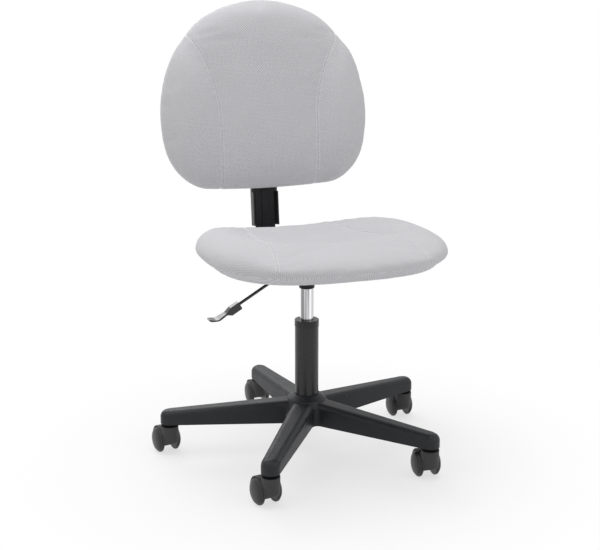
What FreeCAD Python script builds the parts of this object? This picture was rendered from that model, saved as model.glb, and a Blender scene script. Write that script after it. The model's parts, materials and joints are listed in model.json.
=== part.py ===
import FreeCAD, Part
import math
import os
import re

import Sketcher

# Office chair: star base on casters, gas-lift column, dished seat and a rounded back on a bent steel bar.
# Millimetres and degrees. The origin is on the floor under the column, +Z is up and the sitter faces -Y.

doc = FreeCAD.newDocument("OfficeChair")

# Driving dimensions
SIZES = {
    # Fits, as radial or face clearances
    "slip_fit": 0.05,
    "running_fit": 0.05,
    "soft_gap": 0.3,
    "stop_gap": 0.5,
    # Casters
    "wheel_radius": 27,
    "wheel_width": 13.5,
    "wheel_gap": 29,
    "wheel_edge": 3,
    "tread_width": 5,
    "disc_radius": 21,
    "disc_drop": 2.9,
    "axle_radius": 4,
    "axle_depth": 9,
    "trail": 21,
    "barrel_radius": 18.5,
    "barrel_rise": 23,
    "barrel_round": 9,
    "web_radius": 13,
    "web_gap": 0.5,
    "fender_gap": 1.2,
    "fender_wall": 2.6,
    "fender_width": 37,
    "neck_height": 6.4,
    "neck_radius": 17.5,
    "stem_radius": 5.5,
    "stem_in_arm": 22,
    "stem_in_caster": 26,
    "ring_height": 10,
    "ring_length": 4,
    "ring_depth": 1,
    "caster_1_trail": 90,
    "caster_2_trail": 90,
    "caster_3_trail": 100,
    "caster_4_trail": 100,
    "caster_5_trail": 87,
    # Star base
    "arm_count": 5,
    "arm_angle": 20.5,
    "arm_clearance": 16,
    "arm_root_width": 50,
    "arm_root_height": 51,
    "arm_round": 13,
    "arm_wall": 4,
    "arm_rib": 3,
    "stem_circle": 293,
    "tip_radius": 19,
    "tip_height": 29,
    "tip_round": 15,
    "crotch_radius": 12,
    "boss_radius": 12,
    "hub_height": 60,
    "hub_radius": 48,
    "hub_shoulder": 38,
    "hub_rim_radius": 40,
    "hub_rim_drop": 9,
    "hub_land": 3,
    # Column
    "tube_radius": 25,
    "tube_wall": 1.5,
    "tube_taper": 0.5,
    "tube_tail": 4,
    "tube_floor": 4,
    "column_height": 163,
    "cap_top": 2,
    "cap_wall": 0.6,
    "cap_skirt": 12,
    "cap_gap": 0.6,
    "bushing_length": 92,
    # Thrust bearing at the foot of the piston rod
    "washer_radius": 13,
    "washer_thickness": 1.5,
    "ball_radius": 1.5,
    "ball_circle": 9.3,
    "ball_count": 8,
    "cage_thickness": 2,
    "cage_rim": 2,
    "collar_radius": 8,
    "collar_thickness": 3,
    "bump_radius": 11,
    "bump_height": 8,
    "clip_radius": 8.5,
    "clip_thickness": 1.4,
    "clip_depth": 1,
    "rod_tail": 2,
    # Gas spring
    "rod_radius": 5,
    "spigot_radius": 3.5,
    "piston_length": 10,
    "lift_up": 58,
    "lift_down": 54,
    "travel_gap": 14,
    "cylinder_radius": 14,
    "cylinder_wall": 1.5,
    "cylinder_lid": 4,
    "cylinder_stub": 2,
    "guide_length": 12,
    "pressure_radius": 11,
    "pressure_wall": 1,
    "valve_length": 24,
    "pin_radius": 3,
    "pin_rise": 5.7,
    "pin_stroke": 3,
    # Seat plate
    "socket_radius": 16.5,
    "socket_round": 2.5,
    "socket_length": 45,
    "socket_rise": 1,
    "plate_thickness": 3,
    "tray_half_width": 45,
    "tray_half_depth": 70,
    "tray_height": 35,
    "flange_width": 20,
    "bolt_radius": 3,
    "bolt_head_radius": 5.5,
    "bolt_head_height": 4,
    "hole_gap": 0.5,
    "tee_radius": 9,
    "tee_flange": 1.5,
    "tee_barrel": 4.2,
    "tee_length": 9,
    "nut_height": 5,
    # Seat
    "cover_thickness": 1,
    "cover_margin": 4,
    "board_thickness": 12,
    "board_inset": 41,
    "seat_center": -80,
    "seat_half_width": 247,
    "seat_half_depth": 218,
    "seat_side_radius": 447,
    "seat_rear_radius": 476,
    "seat_front_radius": 540,
    "seat_corner_radius": 164,
    "seat_rim": 22,
    "seat_crown": 64,
    "seat_tuck": 32,
    "seat_crown_inset": 90,
    "fall_reach": 136,
    "fall_spread": 45,
    "fall_rise": 64,
    "fall_end": 34,
    "dish_center": 45,
    "dish_height": 26,
    "dish_across": 620,
    "dish_along": 950,
    "seam_width": 3,
    "seam_depth": 4,
    "seat_seam_rear": 97,
    "seat_seam_turn": 150,
    "seat_seam_place": -205,
    "seat_seam_front": 158,
    # Back bar and its cover
    "bar_width": 46,
    "bar_thickness": 6,
    "bar_bend": 30,
    "bar_start": 24,
    "bar_bolt_first": 14,
    "bar_bolt_pitch": 22,
    "bar_reach": 11,
    "bar_gap": 0.3,
    "slot_gap": 0.3,
    "bead_width": 14,
    "bead_height": 1.5,
    "sleeve_width": 62,
    "sleeve_depth": 14,
    "sleeve_wall": 2.5,
    "sleeve_round": 6,
    "sleeve_lip": 2,
    "sleeve_flare": 4,
    "sleeve_brow": 9,
    "sleeve_play": 0.4,
    "sleeve_foot": 4,
    "sleeve_head": 15,
    # Back
    "recline": 6.2,
    "back_rise": 251,
    "back_rear": 302,
    "back_half_width": 236,
    "back_above": 254,
    "back_below": 163,
    "back_top_radius": 260,
    "back_shoulder_radius": 150,
    "back_side_radius": 287,
    "back_corner_radius": 118,
    "back_bottom_radius": 1800,
    "back_thickness": 62,
    "back_rim": 27,
    "back_crown_inset": 86,
    "back_board_inset": 30,
    "back_board_thickness": 12,
    "panel_thickness": 6,
    "panel_inset": 20,
    "back_bolt_low": -88,
    "back_bolt_pitch": 80,
    "back_seam_low": 108,
    "back_seam_turn": -10,
    "back_seam_high": 186,
    "back_seam_top": 200,
    # Lever
    "lever_plane": -35,
    "lever_radius": 3.1,
    "lever_drop": 30.5,
    "lever_reach": 131,
    "lever_grip": 25,
    "lever_end": 6,
    "lever_hole_gap": 1,
    "tongue_width": 16,
    "tongue_thickness": 4,
    "tongue_overlap": 8,
    "tongue_gap": 0.3,
    "handle_length": 71,
    "handle_block": 27,
    "handle_above": 6,
    "handle_below": 10,
    "handle_width": 13,
    "paddle_width": 24,
    "paddle_thickness": 5,
    "paddle_curl": 11,
}

# Heights and radii that follow from the sizes, from the floor up
PLACES = {
    "arm_bottom": "2 * wheel_radius + arm_clearance",
    "caster_top": "arm_bottom - neck_height - soft_gap",
    "stem_foot": "caster_top - stem_in_caster",
    "stem_head": "arm_bottom + stem_in_arm",
    "fender_radius": "wheel_radius + fender_gap + fender_wall",
    "tip_top": "arm_bottom + tip_height",
    "root_top": "arm_bottom + arm_root_height",
    "hub_top": "arm_bottom + hub_height",
    "arm_half": "arm_root_width / 2",
    "arm_taper": "(arm_half - tip_radius) / stem_circle",
    "arm_spread": "360 / arm_count",
    "web_reach": "arm_half / (sin(arm_spread / 2) + arm_taper * cos(arm_spread / 2))",
    "web_end": "2 * hub_radius",
    "web_side": "arm_half - arm_taper * web_end",
    "tube_bottom": "arm_bottom - tube_tail",
    "tube_bore": "tube_radius - tube_wall",
    "floor_top": "tube_bottom + tube_floor",
    "column_top": "hub_top + column_height",
    "tube_top": "column_top - cap_top",
    "cap_radius": "tube_radius + slip_fit + cap_wall",
    "cap_hole": "cylinder_radius + cap_gap",
    "rod_hole": "rod_radius + running_fit",
    "race_bottom": "floor_top + washer_thickness",
    "race_top": "race_bottom + 2 * ball_radius + 2 * slip_fit",
    "collar_bottom": "race_top + washer_thickness",
    "collar_top": "collar_bottom + collar_thickness",
    "bump_top": "collar_top + bump_height",
    "clip_top": "tube_bottom - soft_gap",
    "clip_bottom": "clip_top - clip_thickness",
    "groove_radius": "rod_radius - clip_depth",
    "rod_bottom": "clip_bottom - slip_fit - rod_tail",
    "cylinder_bottom": "bump_top + stop_gap + lift_down",
    "cylinder_bore": "cylinder_radius - cylinder_wall",
    "guide_top": "cylinder_bottom + guide_length",
    "piston_bottom": "guide_top + lift_up + stop_gap",
    "piston_top": "piston_bottom + piston_length",
    "pressure_bore": "pressure_radius - pressure_wall",
    "socket_bottom": "column_top + lift_down + travel_gap",
    "socket_top": "socket_bottom + socket_length",
    "cylinder_top": "socket_top + cylinder_stub",
    "lid_bottom": "cylinder_top - cylinder_lid",
    "valve_bottom": "lid_bottom - valve_length",
    "pin_hole": "pin_radius + running_fit",
    "pin_top": "cylinder_top + pin_rise",
    "tray_floor": "socket_top - socket_rise",
    "tray_bottom": "tray_floor - plate_thickness",
    "tray_top": "tray_bottom + tray_height",
    "flange_bottom": "tray_top - plate_thickness",
    "board_bottom": "tray_top + cover_thickness",
    "board_top": "board_bottom + board_thickness",
    "seat_bolt_x": "tray_half_width + flange_width / 2",
    "seat_bolt_y": "tray_half_depth + flange_width / 2",
    "tee_bore": "bolt_radius + slip_fit",
    "bar_face": "tray_floor + bar_thickness",
    "bar_bolt_near": "bar_start + bar_bolt_first",
    "bar_bolt_far": "bar_bolt_near + bar_bolt_pitch",
    "back_middle": "board_bottom + back_rise",
    "bar_inner": "back_rear + bar_gap / cos(recline) - (back_middle - bar_face) * tan(recline)",
    "bar_outer": "bar_inner + bar_thickness * (1 - sin(recline)) / cos(recline)",
    "bar_top": "back_middle + bar_reach",
    "bar_back": "bar_gap + bar_thickness",
    "bend_end": "bar_face + bar_bend * tan(45 - recline / 2) * cos(recline)",
    "sleeve_low": "(bend_end + sleeve_foot - back_middle) / cos(recline)",
    "sleeve_high": "bar_reach / cos(recline) + sleeve_head",
    "sleeve_back": "bar_gap + sleeve_depth",
    "back_bolt_high": "back_bolt_low + back_bolt_pitch",
    "back_board_top": "panel_thickness + back_board_thickness",
    "lever_height": "pin_top + tongue_gap + tongue_thickness / 2",
}

WORD = re.compile(r"[a-z][a-z0-9_]*")


def bound(expression):
    """The expression with each name led by the sheet that holds it."""

    def owned(match):
        word = match.group()
        if word in SIZES:
            return "Size." + word
        if word in PLACES:
            return "Place." + word
        return word

    return WORD.sub(owned, expression)


def fill_sheet(name, cells):
    """A spreadsheet with a name and a value in each row, the value under an alias."""
    sheet = doc.addObject("Spreadsheet::Sheet", name)
    for row, (alias, value) in enumerate(cells, start=1):
        sheet.set(f"A{row}", alias)
        sheet.set(f"B{row}", value)
        sheet.setAlias(f"B{row}", alias)
    doc.recompute()
    return sheet


def local(formula):
    """A formula of the second sheet, which knows its own names without a lead."""
    return "=" + bound(formula).replace("Place.", "")


sizes = fill_sheet("Size", [(name, str(value)) for name, value in SIZES.items()])
places = fill_sheet("Place", [(name, local(formula)) for name, formula in PLACES.items()])


def num(expression):
    """The value of an expression in the sheets' names."""
    return float(sizes.evalExpression(bound(expression)))


def bind(item, prop, expression):
    """Tie a property to the sheets."""
    item.setExpression(prop, bound(expression))


PARTS = []


def keep(item, label):
    """Name a finished sub-part, which is then written to its own file."""
    item.Label = label
    PARTS.append(item)
    return item


def bare_body(name):
    """An empty body that may hold a group of separate solids."""
    body = doc.addObject("PartDesign::Body", name)
    body.AllowCompound = True
    return body


def new_body(label):
    """An empty body for a sub-part."""
    return keep(bare_body(label), label)


def origin_part(body, role):
    """One of a body's own origin planes or axes."""
    return next(part for part in body.Origin.OriginFeatures if part.Role == role)


def new_sketch(body, plane, shift=("0", "0", "0"), turn=None):
    """A sketch on an origin plane, shifted along its own axes and turned about its own X axis."""
    sketch = body.newObject("Sketcher::SketchObject", body.Name + "_sketch")
    sketch.AttachmentSupport = [(origin_part(body, plane), "")]
    sketch.MapMode = "FlatFace"
    if turn is not None:
        sketch.AttachmentOffset = FreeCAD.Placement(
            FreeCAD.Vector(), FreeCAD.Rotation(FreeCAD.Vector(1, 0, 0), num(turn))
        )
        bind(sketch, ".AttachmentOffset.Rotation.Angle", turn)
    for axis, expression in zip("xyz", shift):
        if expression != "0":
            bind(sketch, ".AttachmentOffset.Base." + axis, expression)
    return sketch


def pin_point(sketch, geometry, end, x, y):
    """Hold a point of a sketch at two bound distances from the origin."""
    for kind, axis, expression in (("DistanceX", -2, x), ("DistanceY", -1, y)):
        if expression == "0":
            sketch.addConstraint(Sketcher.Constraint("PointOnObject", geometry, end, axis))
            continue
        index = sketch.addConstraint(Sketcher.Constraint(kind, -1, 1, geometry, end, num(expression)))
        bind(sketch, f"Constraints[{index}]", expression)


def hold_radius(sketch, geometry, expression):
    """Bind the radius of a circle or an arc."""
    index = sketch.addConstraint(Sketcher.Constraint("Radius", geometry, num(expression)))
    bind(sketch, f"Constraints[{index}]", expression)


def add_circle(sketch, x, y, radius):
    """A bound circle."""
    circle = Part.Circle(FreeCAD.Vector(num(x), num(y), 0), FreeCAD.Vector(0, 0, 1), num(radius))
    geometry = sketch.addGeometry(circle, False)
    pin_point(sketch, geometry, 3, x, y)
    hold_radius(sketch, geometry, radius)


def add_outline(sketch, corners):
    """A closed outline through bound corners, each (x, y) or (x, y, rounding radius)."""
    count = len(corners)
    points = [FreeCAD.Vector(num(corner[0]), num(corner[1]), 0) for corner in corners]
    starts, ends, arcs = [], [], {}
    for i, corner in enumerate(corners):
        point = points[i]
        starts.append(point)
        ends.append(point)
        if len(corner) == 2:
            continue
        radius = num(corner[2])
        back = (points[i - 1] - point).normalize()
        ahead = (points[(i + 1) % count] - point).normalize()
        half = back.getAngle(ahead) / 2
        inward = (back + ahead).normalize()
        middle = point + inward * (radius / math.sin(half) - radius)
        ends[i] = point + back * (radius / math.tan(half))
        starts[i] = point + ahead * (radius / math.tan(half))
        arcs[i] = Part.Arc(ends[i], middle, starts[i])
    lines = []
    for i in range(count):
        segment = Part.LineSegment(starts[i], ends[(i + 1) % count])
        lines.append(sketch.addGeometry(segment, False))
    for i, corner in enumerate(corners):
        before, after = lines[i - 1], lines[i]
        if i not in arcs:
            sketch.addConstraint(Sketcher.Constraint("Coincident", before, 2, after, 1))
            pin_point(sketch, after, 1, corner[0], corner[1])
            continue
        apex = sketch.addGeometry(Part.Point(points[i]), True)
        arc = sketch.addGeometry(arcs[i], False)
        near, far = (1, 2) if sketch.getPoint(arc, 1).distanceToPoint(ends[i]) < 1e-6 else (2, 1)
        sketch.addConstraint(Sketcher.Constraint("Tangent", before, 2, arc, near))
        sketch.addConstraint(Sketcher.Constraint("Tangent", arc, far, after, 1))
        sketch.addConstraint(Sketcher.Constraint("PointOnObject", apex, 1, before))
        sketch.addConstraint(Sketcher.Constraint("PointOnObject", apex, 1, after))
        pin_point(sketch, apex, 1, corner[0], corner[1])
        hold_radius(sketch, arc, corner[2])


def rectangle(low_x, high_x, low_y, high_y):
    """Corners of an upright rectangle."""
    return [(low_x, low_y), (high_x, low_y), (high_x, high_y), (low_x, high_y)]


def pad(body, sketch, length, side="One side", reverse=False):
    """Material along the sketch's normal."""
    feature = body.newObject("PartDesign::Pad", body.Name + "_pad")
    feature.Profile = sketch
    feature.SideType = side
    feature.Reversed = reverse
    bind(feature, "Length", length)
    return feature


def pocket(body, sketch, length, side="One side", reverse=False):
    """A cut against the sketch's normal, or along it when reversed."""
    feature = body.newObject("PartDesign::Pocket", body.Name + "_pocket")
    feature.Profile = sketch
    feature.SideType = side
    feature.Reversed = reverse
    bind(feature, "Length", length)
    return feature


def spin(body, sketch, kind="PartDesign::Revolution"):
    """A full turn of a sketch about its own vertical axis, added or cut."""
    feature = body.newObject(kind, body.Name + "_turn")
    feature.Profile = sketch
    feature.ReferenceAxis = (sketch, ["V_Axis"])
    feature.Angle = 360
    return feature


def ring_pattern(body, features, count):
    """Copies of features about the body's Z axis."""
    pattern = body.newObject("PartDesign::PolarPattern", body.Name + "_ring")
    pattern.Originals = features
    pattern.Axis = (origin_part(body, "Z_Axis"), [""])
    pattern.Angle = 360
    bind(pattern, "Occurrences", count)
    body.Tip = pattern
    return pattern


def turned(label, corners, spots=(("0", "0"),)):
    """A turned piece, or a group of them standing at several spots, from a half section (radius, height)."""
    body = new_body(label)
    for x, y in spots:
        sketch = new_sketch(body, "XZ_Plane", (x, "0", f"-({y})" if y != "0" else "0"))
        add_outline(sketch, corners)
        spin(body, sketch)
    return body


def tube_section(inner, outer, low, high):
    """Half section of a plain ring."""
    return [(inner, low), (outer, low), (outer, high), (inner, high)]


def turn_base(body):
    """Turn a piece of the star base to the first arm's direction."""
    body.Placement = FreeCAD.Placement(
        FreeCAD.Vector(), FreeCAD.Rotation(FreeCAD.Vector(0, 0, 1), num("arm_angle"))
    )
    bind(body, ".Placement.Rotation.Angle", "arm_angle")


def stem_group(label, corners):
    """A turned piece repeated at every arm's stem."""
    body = new_body(label)
    sketch = new_sketch(body, "XZ_Plane", ("stem_circle", "0", "0"))
    add_outline(sketch, corners)
    ring_pattern(body, [spin(body, sketch)], "arm_count")
    turn_base(body)
    return body


def back_placement():
    """Frame of the back: X across, Y up the back, Z forward from its rear plane."""
    return FreeCAD.Placement(
        FreeCAD.Vector(0, num("back_rear"), num("back_middle")),
        FreeCAD.Rotation(FreeCAD.Vector(1, 0, 0), 90 - num("recline")),
    )


def lean(item):
    """Set a piece made in the back's frame into the chair."""
    item.Placement = back_placement()
    bind(item, ".Placement.Base.y", "back_rear")
    bind(item, ".Placement.Base.z", "back_middle")
    bind(item, ".Placement.Rotation.Angle", "90 - recline")


# Star base: five hollow arms with a centre rib and rounded tips, on one hub with a tapered bore

def arm_section(body, reach, half_width, top, rounding, low="arm_bottom"):
    """Cross section of an arm at a distance from the column: flat below, rounded above."""
    sketch = new_sketch(body, "YZ_Plane", ("0", "0", reach))
    add_outline(sketch, [
        (f"-({half_width})", low),
        (half_width, low),
        (half_width, top, rounding),
        (f"-({half_width})", top, rounding),
    ])
    return sketch


def tip_trim(body):
    """Rounds an arm's end to an upright half cylinder about the stem, with a soft upper edge."""
    sketch = new_sketch(body, "XZ_Plane", ("stem_circle", "0", "0"))
    add_outline(sketch, [
        ("tip_radius", "arm_bottom - arm_wall"),
        ("3 * tip_radius", "arm_bottom - arm_wall"),
        ("3 * tip_radius", "tip_top + tip_radius"),
        ("0", "tip_top + tip_radius"),
        ("0", "tip_top"),
        ("tip_radius", "tip_top", "tip_round"),
    ])
    trim = spin(body, sketch, "PartDesign::Groove")
    trim.Angle = 180
    trim.Midplane = True
    return trim


def crotch_web(body):
    """Fills the corner between two neighbouring arms with a hollow curve."""
    sketch = new_sketch(body, "XY_Plane", ("0", "0", "arm_bottom"))
    add_outline(sketch, [
        ("0", "0"),
        ("web_end", "web_side"),
        ("web_reach * cos(arm_spread / 2)", "web_reach * sin(arm_spread / 2)", "crotch_radius"),
        (
            "web_end * cos(arm_spread) + web_side * sin(arm_spread)",
            "web_end * sin(arm_spread) - web_side * cos(arm_spread)",
        ),
    ])
    return pad(body, sketch, "hub_shoulder")


def make_star_base():
    """Five arms by a pattern, then the hub and its bore."""
    body = new_body("star_base")
    arm = body.newObject("PartDesign::AdditiveLoft", "arm")
    arm.Profile = arm_section(body, "0", "arm_half", "root_top", "arm_round")
    tip_face = arm_section(body, "stem_circle", "tip_radius", "tip_top", "arm_round")
    arm.Sections = [tip_face]
    arm.Ruled = True
    end = arm_section(body, "stem_circle", "tip_radius", "tip_top", "arm_round")
    tip = pad(body, end, "tip_radius")
    trim = tip_trim(body)
    hollow = body.newObject("PartDesign::SubtractiveLoft", "hollow")
    hollow_start = "hub_radius + arm_wall"
    hollow_end = "stem_circle - boss_radius"
    profiles = []
    for reach in (hollow_start, hollow_end):
        half_width = f"arm_half - arm_taper * ({reach}) - arm_wall"
        top = f"root_top - (root_top - tip_top) * ({reach}) / stem_circle - arm_wall"
        low, rounding = "arm_bottom - arm_wall", "arm_round - arm_wall"
        profiles.append(arm_section(body, reach, half_width, top, rounding, low))
    hollow.Profile = profiles[0]
    hollow.Sections = profiles[1:]
    hollow.Ruled = True
    rib_sketch = new_sketch(body, "XZ_Plane")
    add_outline(rib_sketch, [
        ("hub_radius", "arm_bottom + arm_wall"),
        (hollow_end, "arm_bottom + arm_wall"),
        (hollow_end, "tip_top - 2 * arm_wall"),
        ("hub_radius", "root_top - 4 * arm_wall"),
    ])
    rib = pad(body, rib_sketch, "arm_rib", "Symmetric")
    socket_sketch = new_sketch(body, "XY_Plane", ("0", "0", "stem_head + soft_gap"))
    add_circle(socket_sketch, "stem_circle", "0", "stem_radius + slip_fit")
    socket = pocket(body, socket_sketch, "stem_head + soft_gap")
    web = crotch_web(body)
    ring_pattern(body, [arm, tip, trim, hollow, rib, socket, web], "arm_count")
    hub = new_sketch(body, "XZ_Plane")
    add_outline(hub, [
        ("0", "arm_bottom"),
        ("hub_radius", "arm_bottom"),
        ("hub_radius", "arm_bottom + hub_shoulder"),
        ("hub_rim_radius", "hub_top - hub_rim_drop", "hub_land"),
        ("tube_radius + hub_land", "hub_top"),
        ("0", "hub_top"),
    ])
    spin(body, hub)
    bore = new_sketch(body, "XZ_Plane")
    add_outline(bore, [
        ("0", "arm_bottom - arm_wall"),
        ("tube_radius - tube_taper + slip_fit", "arm_bottom - arm_wall"),
        ("tube_radius + slip_fit", "hub_top"),
        ("tube_radius + slip_fit", "hub_top + arm_wall"),
        ("0", "hub_top + arm_wall"),
    ])
    spin(body, bore, "PartDesign::Groove")
    turn_base(body)


# Column: tapered tube, its cap, and the bushing that guides the gas cylinder

def make_column():
    """The fixed pieces of the column."""
    turned("column_tube", [
        ("rod_hole", "tube_bottom"),
        ("tube_radius - tube_taper", "tube_bottom"),
        ("tube_radius", "hub_top"),
        ("tube_radius", "tube_top"),
        ("tube_bore", "tube_top"),
        ("tube_bore", "floor_top"),
        ("rod_hole", "floor_top"),
    ])
    turned("column_cap", [
        ("cap_hole", "tube_top"),
        ("tube_radius + slip_fit", "tube_top"),
        ("tube_radius + slip_fit", "tube_top - cap_skirt"),
        ("cap_radius", "tube_top - cap_skirt"),
        ("cap_radius", "column_top", "cap_top / 2"),
        ("cap_hole", "column_top"),
    ])
    turned("guide_bushing", tube_section(
        "cylinder_radius + running_fit", "tube_bore - slip_fit", "tube_top - bushing_length", "tube_top"
    ))


# Thrust bearing and the piston rod that turns on it

def make_bearing():
    """Washers, ball cage and balls under the rod's collar."""
    turned("lower_thrust_washer", tube_section("rod_hole", "washer_radius", "floor_top", "race_bottom"))
    turned("upper_thrust_washer", tube_section("rod_hole", "washer_radius", "race_top", "collar_bottom"))
    middle = "(race_bottom + race_top) / 2"
    cage = turned("ball_cage", tube_section(
        "ball_circle - ball_radius - cage_rim", "ball_circle + ball_radius + cage_rim",
        f"{middle} - cage_thickness / 2", f"{middle} + cage_thickness / 2",
    ))
    hole = new_sketch(cage, "XY_Plane", ("0", "0", middle))
    add_circle(hole, "ball_circle", "0", "ball_radius + slip_fit")
    ring_pattern(cage, [pocket(cage, hole, "2 * cage_thickness", "Symmetric")], "ball_count")
    balls = []
    for i in range(round(num("ball_count"))):
        ball = doc.addObject("Part::Sphere", "ball")
        bind(ball, "Radius", "ball_radius")
        bind(ball, ".Placement.Base.x", f"ball_circle * cos(360 * {i} / ball_count)")
        bind(ball, ".Placement.Base.y", f"ball_circle * sin(360 * {i} / ball_count)")
        bind(ball, ".Placement.Base.z", middle)
        balls.append(ball)
    group = doc.addObject("Part::Compound", "bearing_balls")
    group.Links = balls
    keep(group, "bearing_balls")


def make_rod():
    """Piston rod with its collar and clip groove, the piston, the bump stop and the clip."""
    turned("piston_rod", [
        ("0", "rod_bottom"),
        ("rod_radius", "rod_bottom"),
        ("rod_radius", "clip_bottom - slip_fit"),
        ("groove_radius", "clip_bottom - slip_fit"),
        ("groove_radius", "clip_top + slip_fit"),
        ("rod_radius", "clip_top + slip_fit"),
        ("rod_radius", "collar_bottom"),
        ("collar_radius", "collar_bottom"),
        ("collar_radius", "collar_top"),
        ("rod_radius", "collar_top"),
        ("rod_radius", "piston_bottom"),
        ("spigot_radius", "piston_bottom"),
        ("spigot_radius", "piston_top + washer_thickness"),
        ("0", "piston_top + washer_thickness"),
    ])
    turned("piston", tube_section(
        "spigot_radius + slip_fit", "pressure_bore - running_fit", "piston_bottom", "piston_top"
    ))
    turned("bump_stop", tube_section("rod_hole", "bump_radius", "collar_top", "bump_top"))
    clip_bore = "groove_radius + slip_fit"
    turned("retaining_clip", tube_section(clip_bore, "clip_radius", "clip_bottom", "clip_top"))


# Gas spring: chromed cylinder, what it holds, and the pin that opens its valve

def make_gas_spring():
    """The pieces that rise with the seat, and the valve pin."""
    turned("gas_cylinder", [
        ("cylinder_bore", "cylinder_bottom"),
        ("cylinder_radius", "cylinder_bottom"),
        ("cylinder_radius", "cylinder_top", "cylinder_wall / 2"),
        ("pin_hole", "cylinder_top"),
        ("pin_hole", "lid_bottom"),
        ("cylinder_bore", "lid_bottom"),
    ])
    turned("rod_guide", tube_section("rod_hole", "cylinder_bore - slip_fit", "cylinder_bottom", "guide_top"))
    turned("pressure_tube", tube_section("pressure_bore", "pressure_radius", "guide_top", "valve_bottom"))
    turned("valve_body", tube_section("pin_hole", "cylinder_bore - slip_fit", "valve_bottom", "lid_bottom"))
    turned("valve_pin", tube_section("0", "pin_radius", "valve_bottom + pin_stroke + stop_gap", "pin_top"))


# Seat plate: pressed tray with a socket for the gas cylinder

SEAT_BOLTS = [(x, y) for x in ("seat_bolt_x", "-seat_bolt_x") for y in ("seat_bolt_y", "-seat_bolt_y")]
BAR_BOLTS = [("0", "bar_bolt_near"), ("0", "bar_bolt_far")]
BACK_BOLTS = [("0", "back_bolt_low"), ("0", "back_bolt_high")]


def make_seat_plate():
    """Tray, flange and socket, with the holes for the cylinder, the lever, the bar and the bolts."""
    body = new_body("seat_plate")
    outer = new_sketch(body, "XY_Plane", ("0", "0", "tray_bottom"))
    add_outline(outer, rectangle(
        "-tray_half_width", "tray_half_width", "-tray_half_depth", "tray_half_depth"
    ))
    pad(body, outer, "tray_height")
    flange = new_sketch(body, "XY_Plane", ("0", "0", "flange_bottom"))
    add_outline(flange, rectangle(
        "-tray_half_width - flange_width", "tray_half_width + flange_width",
        "-tray_half_depth - flange_width", "tray_half_depth + flange_width",
    ))
    pad(body, flange, "plate_thickness")
    inner = new_sketch(body, "XY_Plane", ("0", "0", "tray_top"))
    add_outline(inner, rectangle(
        "-tray_half_width + plate_thickness", "tray_half_width - plate_thickness",
        "-tray_half_depth + plate_thickness", "tray_half_depth - plate_thickness",
    ))
    pocket(body, inner, "tray_height - plate_thickness")
    socket = new_sketch(body, "XZ_Plane")
    add_outline(socket, [
        ("0", "socket_bottom"),
        ("socket_radius", "socket_bottom", "socket_round * 0.9"),
        ("socket_radius", "socket_top"),
        ("0", "socket_top"),
    ])
    spin(body, socket)
    bore = new_sketch(body, "XY_Plane", ("0", "0", "socket_top"))
    add_circle(bore, "0", "0", "cylinder_radius + slip_fit")
    pocket(body, bore, "2 * socket_length")
    slot = new_sketch(body, "XZ_Plane", ("0", "0", "-tray_half_depth - plate_thickness"))
    add_outline(slot, rectangle(
        "-bar_width / 2 - slot_gap", "bar_width / 2 + slot_gap",
        "tray_floor", "bar_face + bead_height + slot_gap",
    ))
    pocket(body, slot, "3 * plate_thickness", "One side", True)
    lever_hole = new_sketch(body, "YZ_Plane", ("0", "0", "-tray_half_width"))
    add_circle(lever_hole, "lever_plane", "lever_height", "lever_radius + lever_hole_gap")
    pocket(body, lever_hole, "3 * plate_thickness", "Symmetric")
    for spots, top in ((SEAT_BOLTS, "tray_top"), (BAR_BOLTS, "tray_floor")):
        holes = new_sketch(body, "XY_Plane", ("0", "0", top))
        for x, y in spots:
            add_circle(holes, x, y, "bolt_radius + hole_gap")
        pocket(body, holes, "plate_thickness")


def make_seat_fasteners():
    """Bolts through the tray's flange and the tee nuts in the seat board."""
    turned("seat_bolts", [
        ("0", "flange_bottom - bolt_head_height"),
        ("bolt_head_radius", "flange_bottom - bolt_head_height"),
        ("bolt_head_radius", "flange_bottom"),
        ("bolt_radius", "flange_bottom"),
        ("bolt_radius", "board_top - tee_flange / 2"),
        ("0", "board_top - tee_flange / 2"),
    ], SEAT_BOLTS)
    turned("seat_tee_nuts", [
        ("tee_bore", "board_top - tee_length"),
        ("tee_barrel", "board_top - tee_length"),
        ("tee_barrel", "board_top - tee_flange"),
        ("tee_radius", "board_top - tee_flange"),
        ("tee_radius", "board_top"),
        ("tee_bore", "board_top"),
    ], SEAT_BOLTS)


# Outlines of the seat and the back, as tangent arcs

def blend_center(center_a, radius_a, center_b, radius_b, radius):
    """Centre of the arc that touches two larger arcs from inside, on their right."""
    along = center_b - center_a
    gap = along.Length
    reach_a, reach_b = radius_a - radius, radius_b - radius
    step = (reach_a ** 2 - reach_b ** 2 + gap ** 2) / (2 * gap)
    rise = math.sqrt(reach_a ** 2 - step ** 2)
    along.normalize()
    across = FreeCAD.Vector(-along.y, along.x, 0)
    foot = center_a + along * step
    return max(foot + across * rise, foot - across * rise, key=lambda point: point.x)


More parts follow.
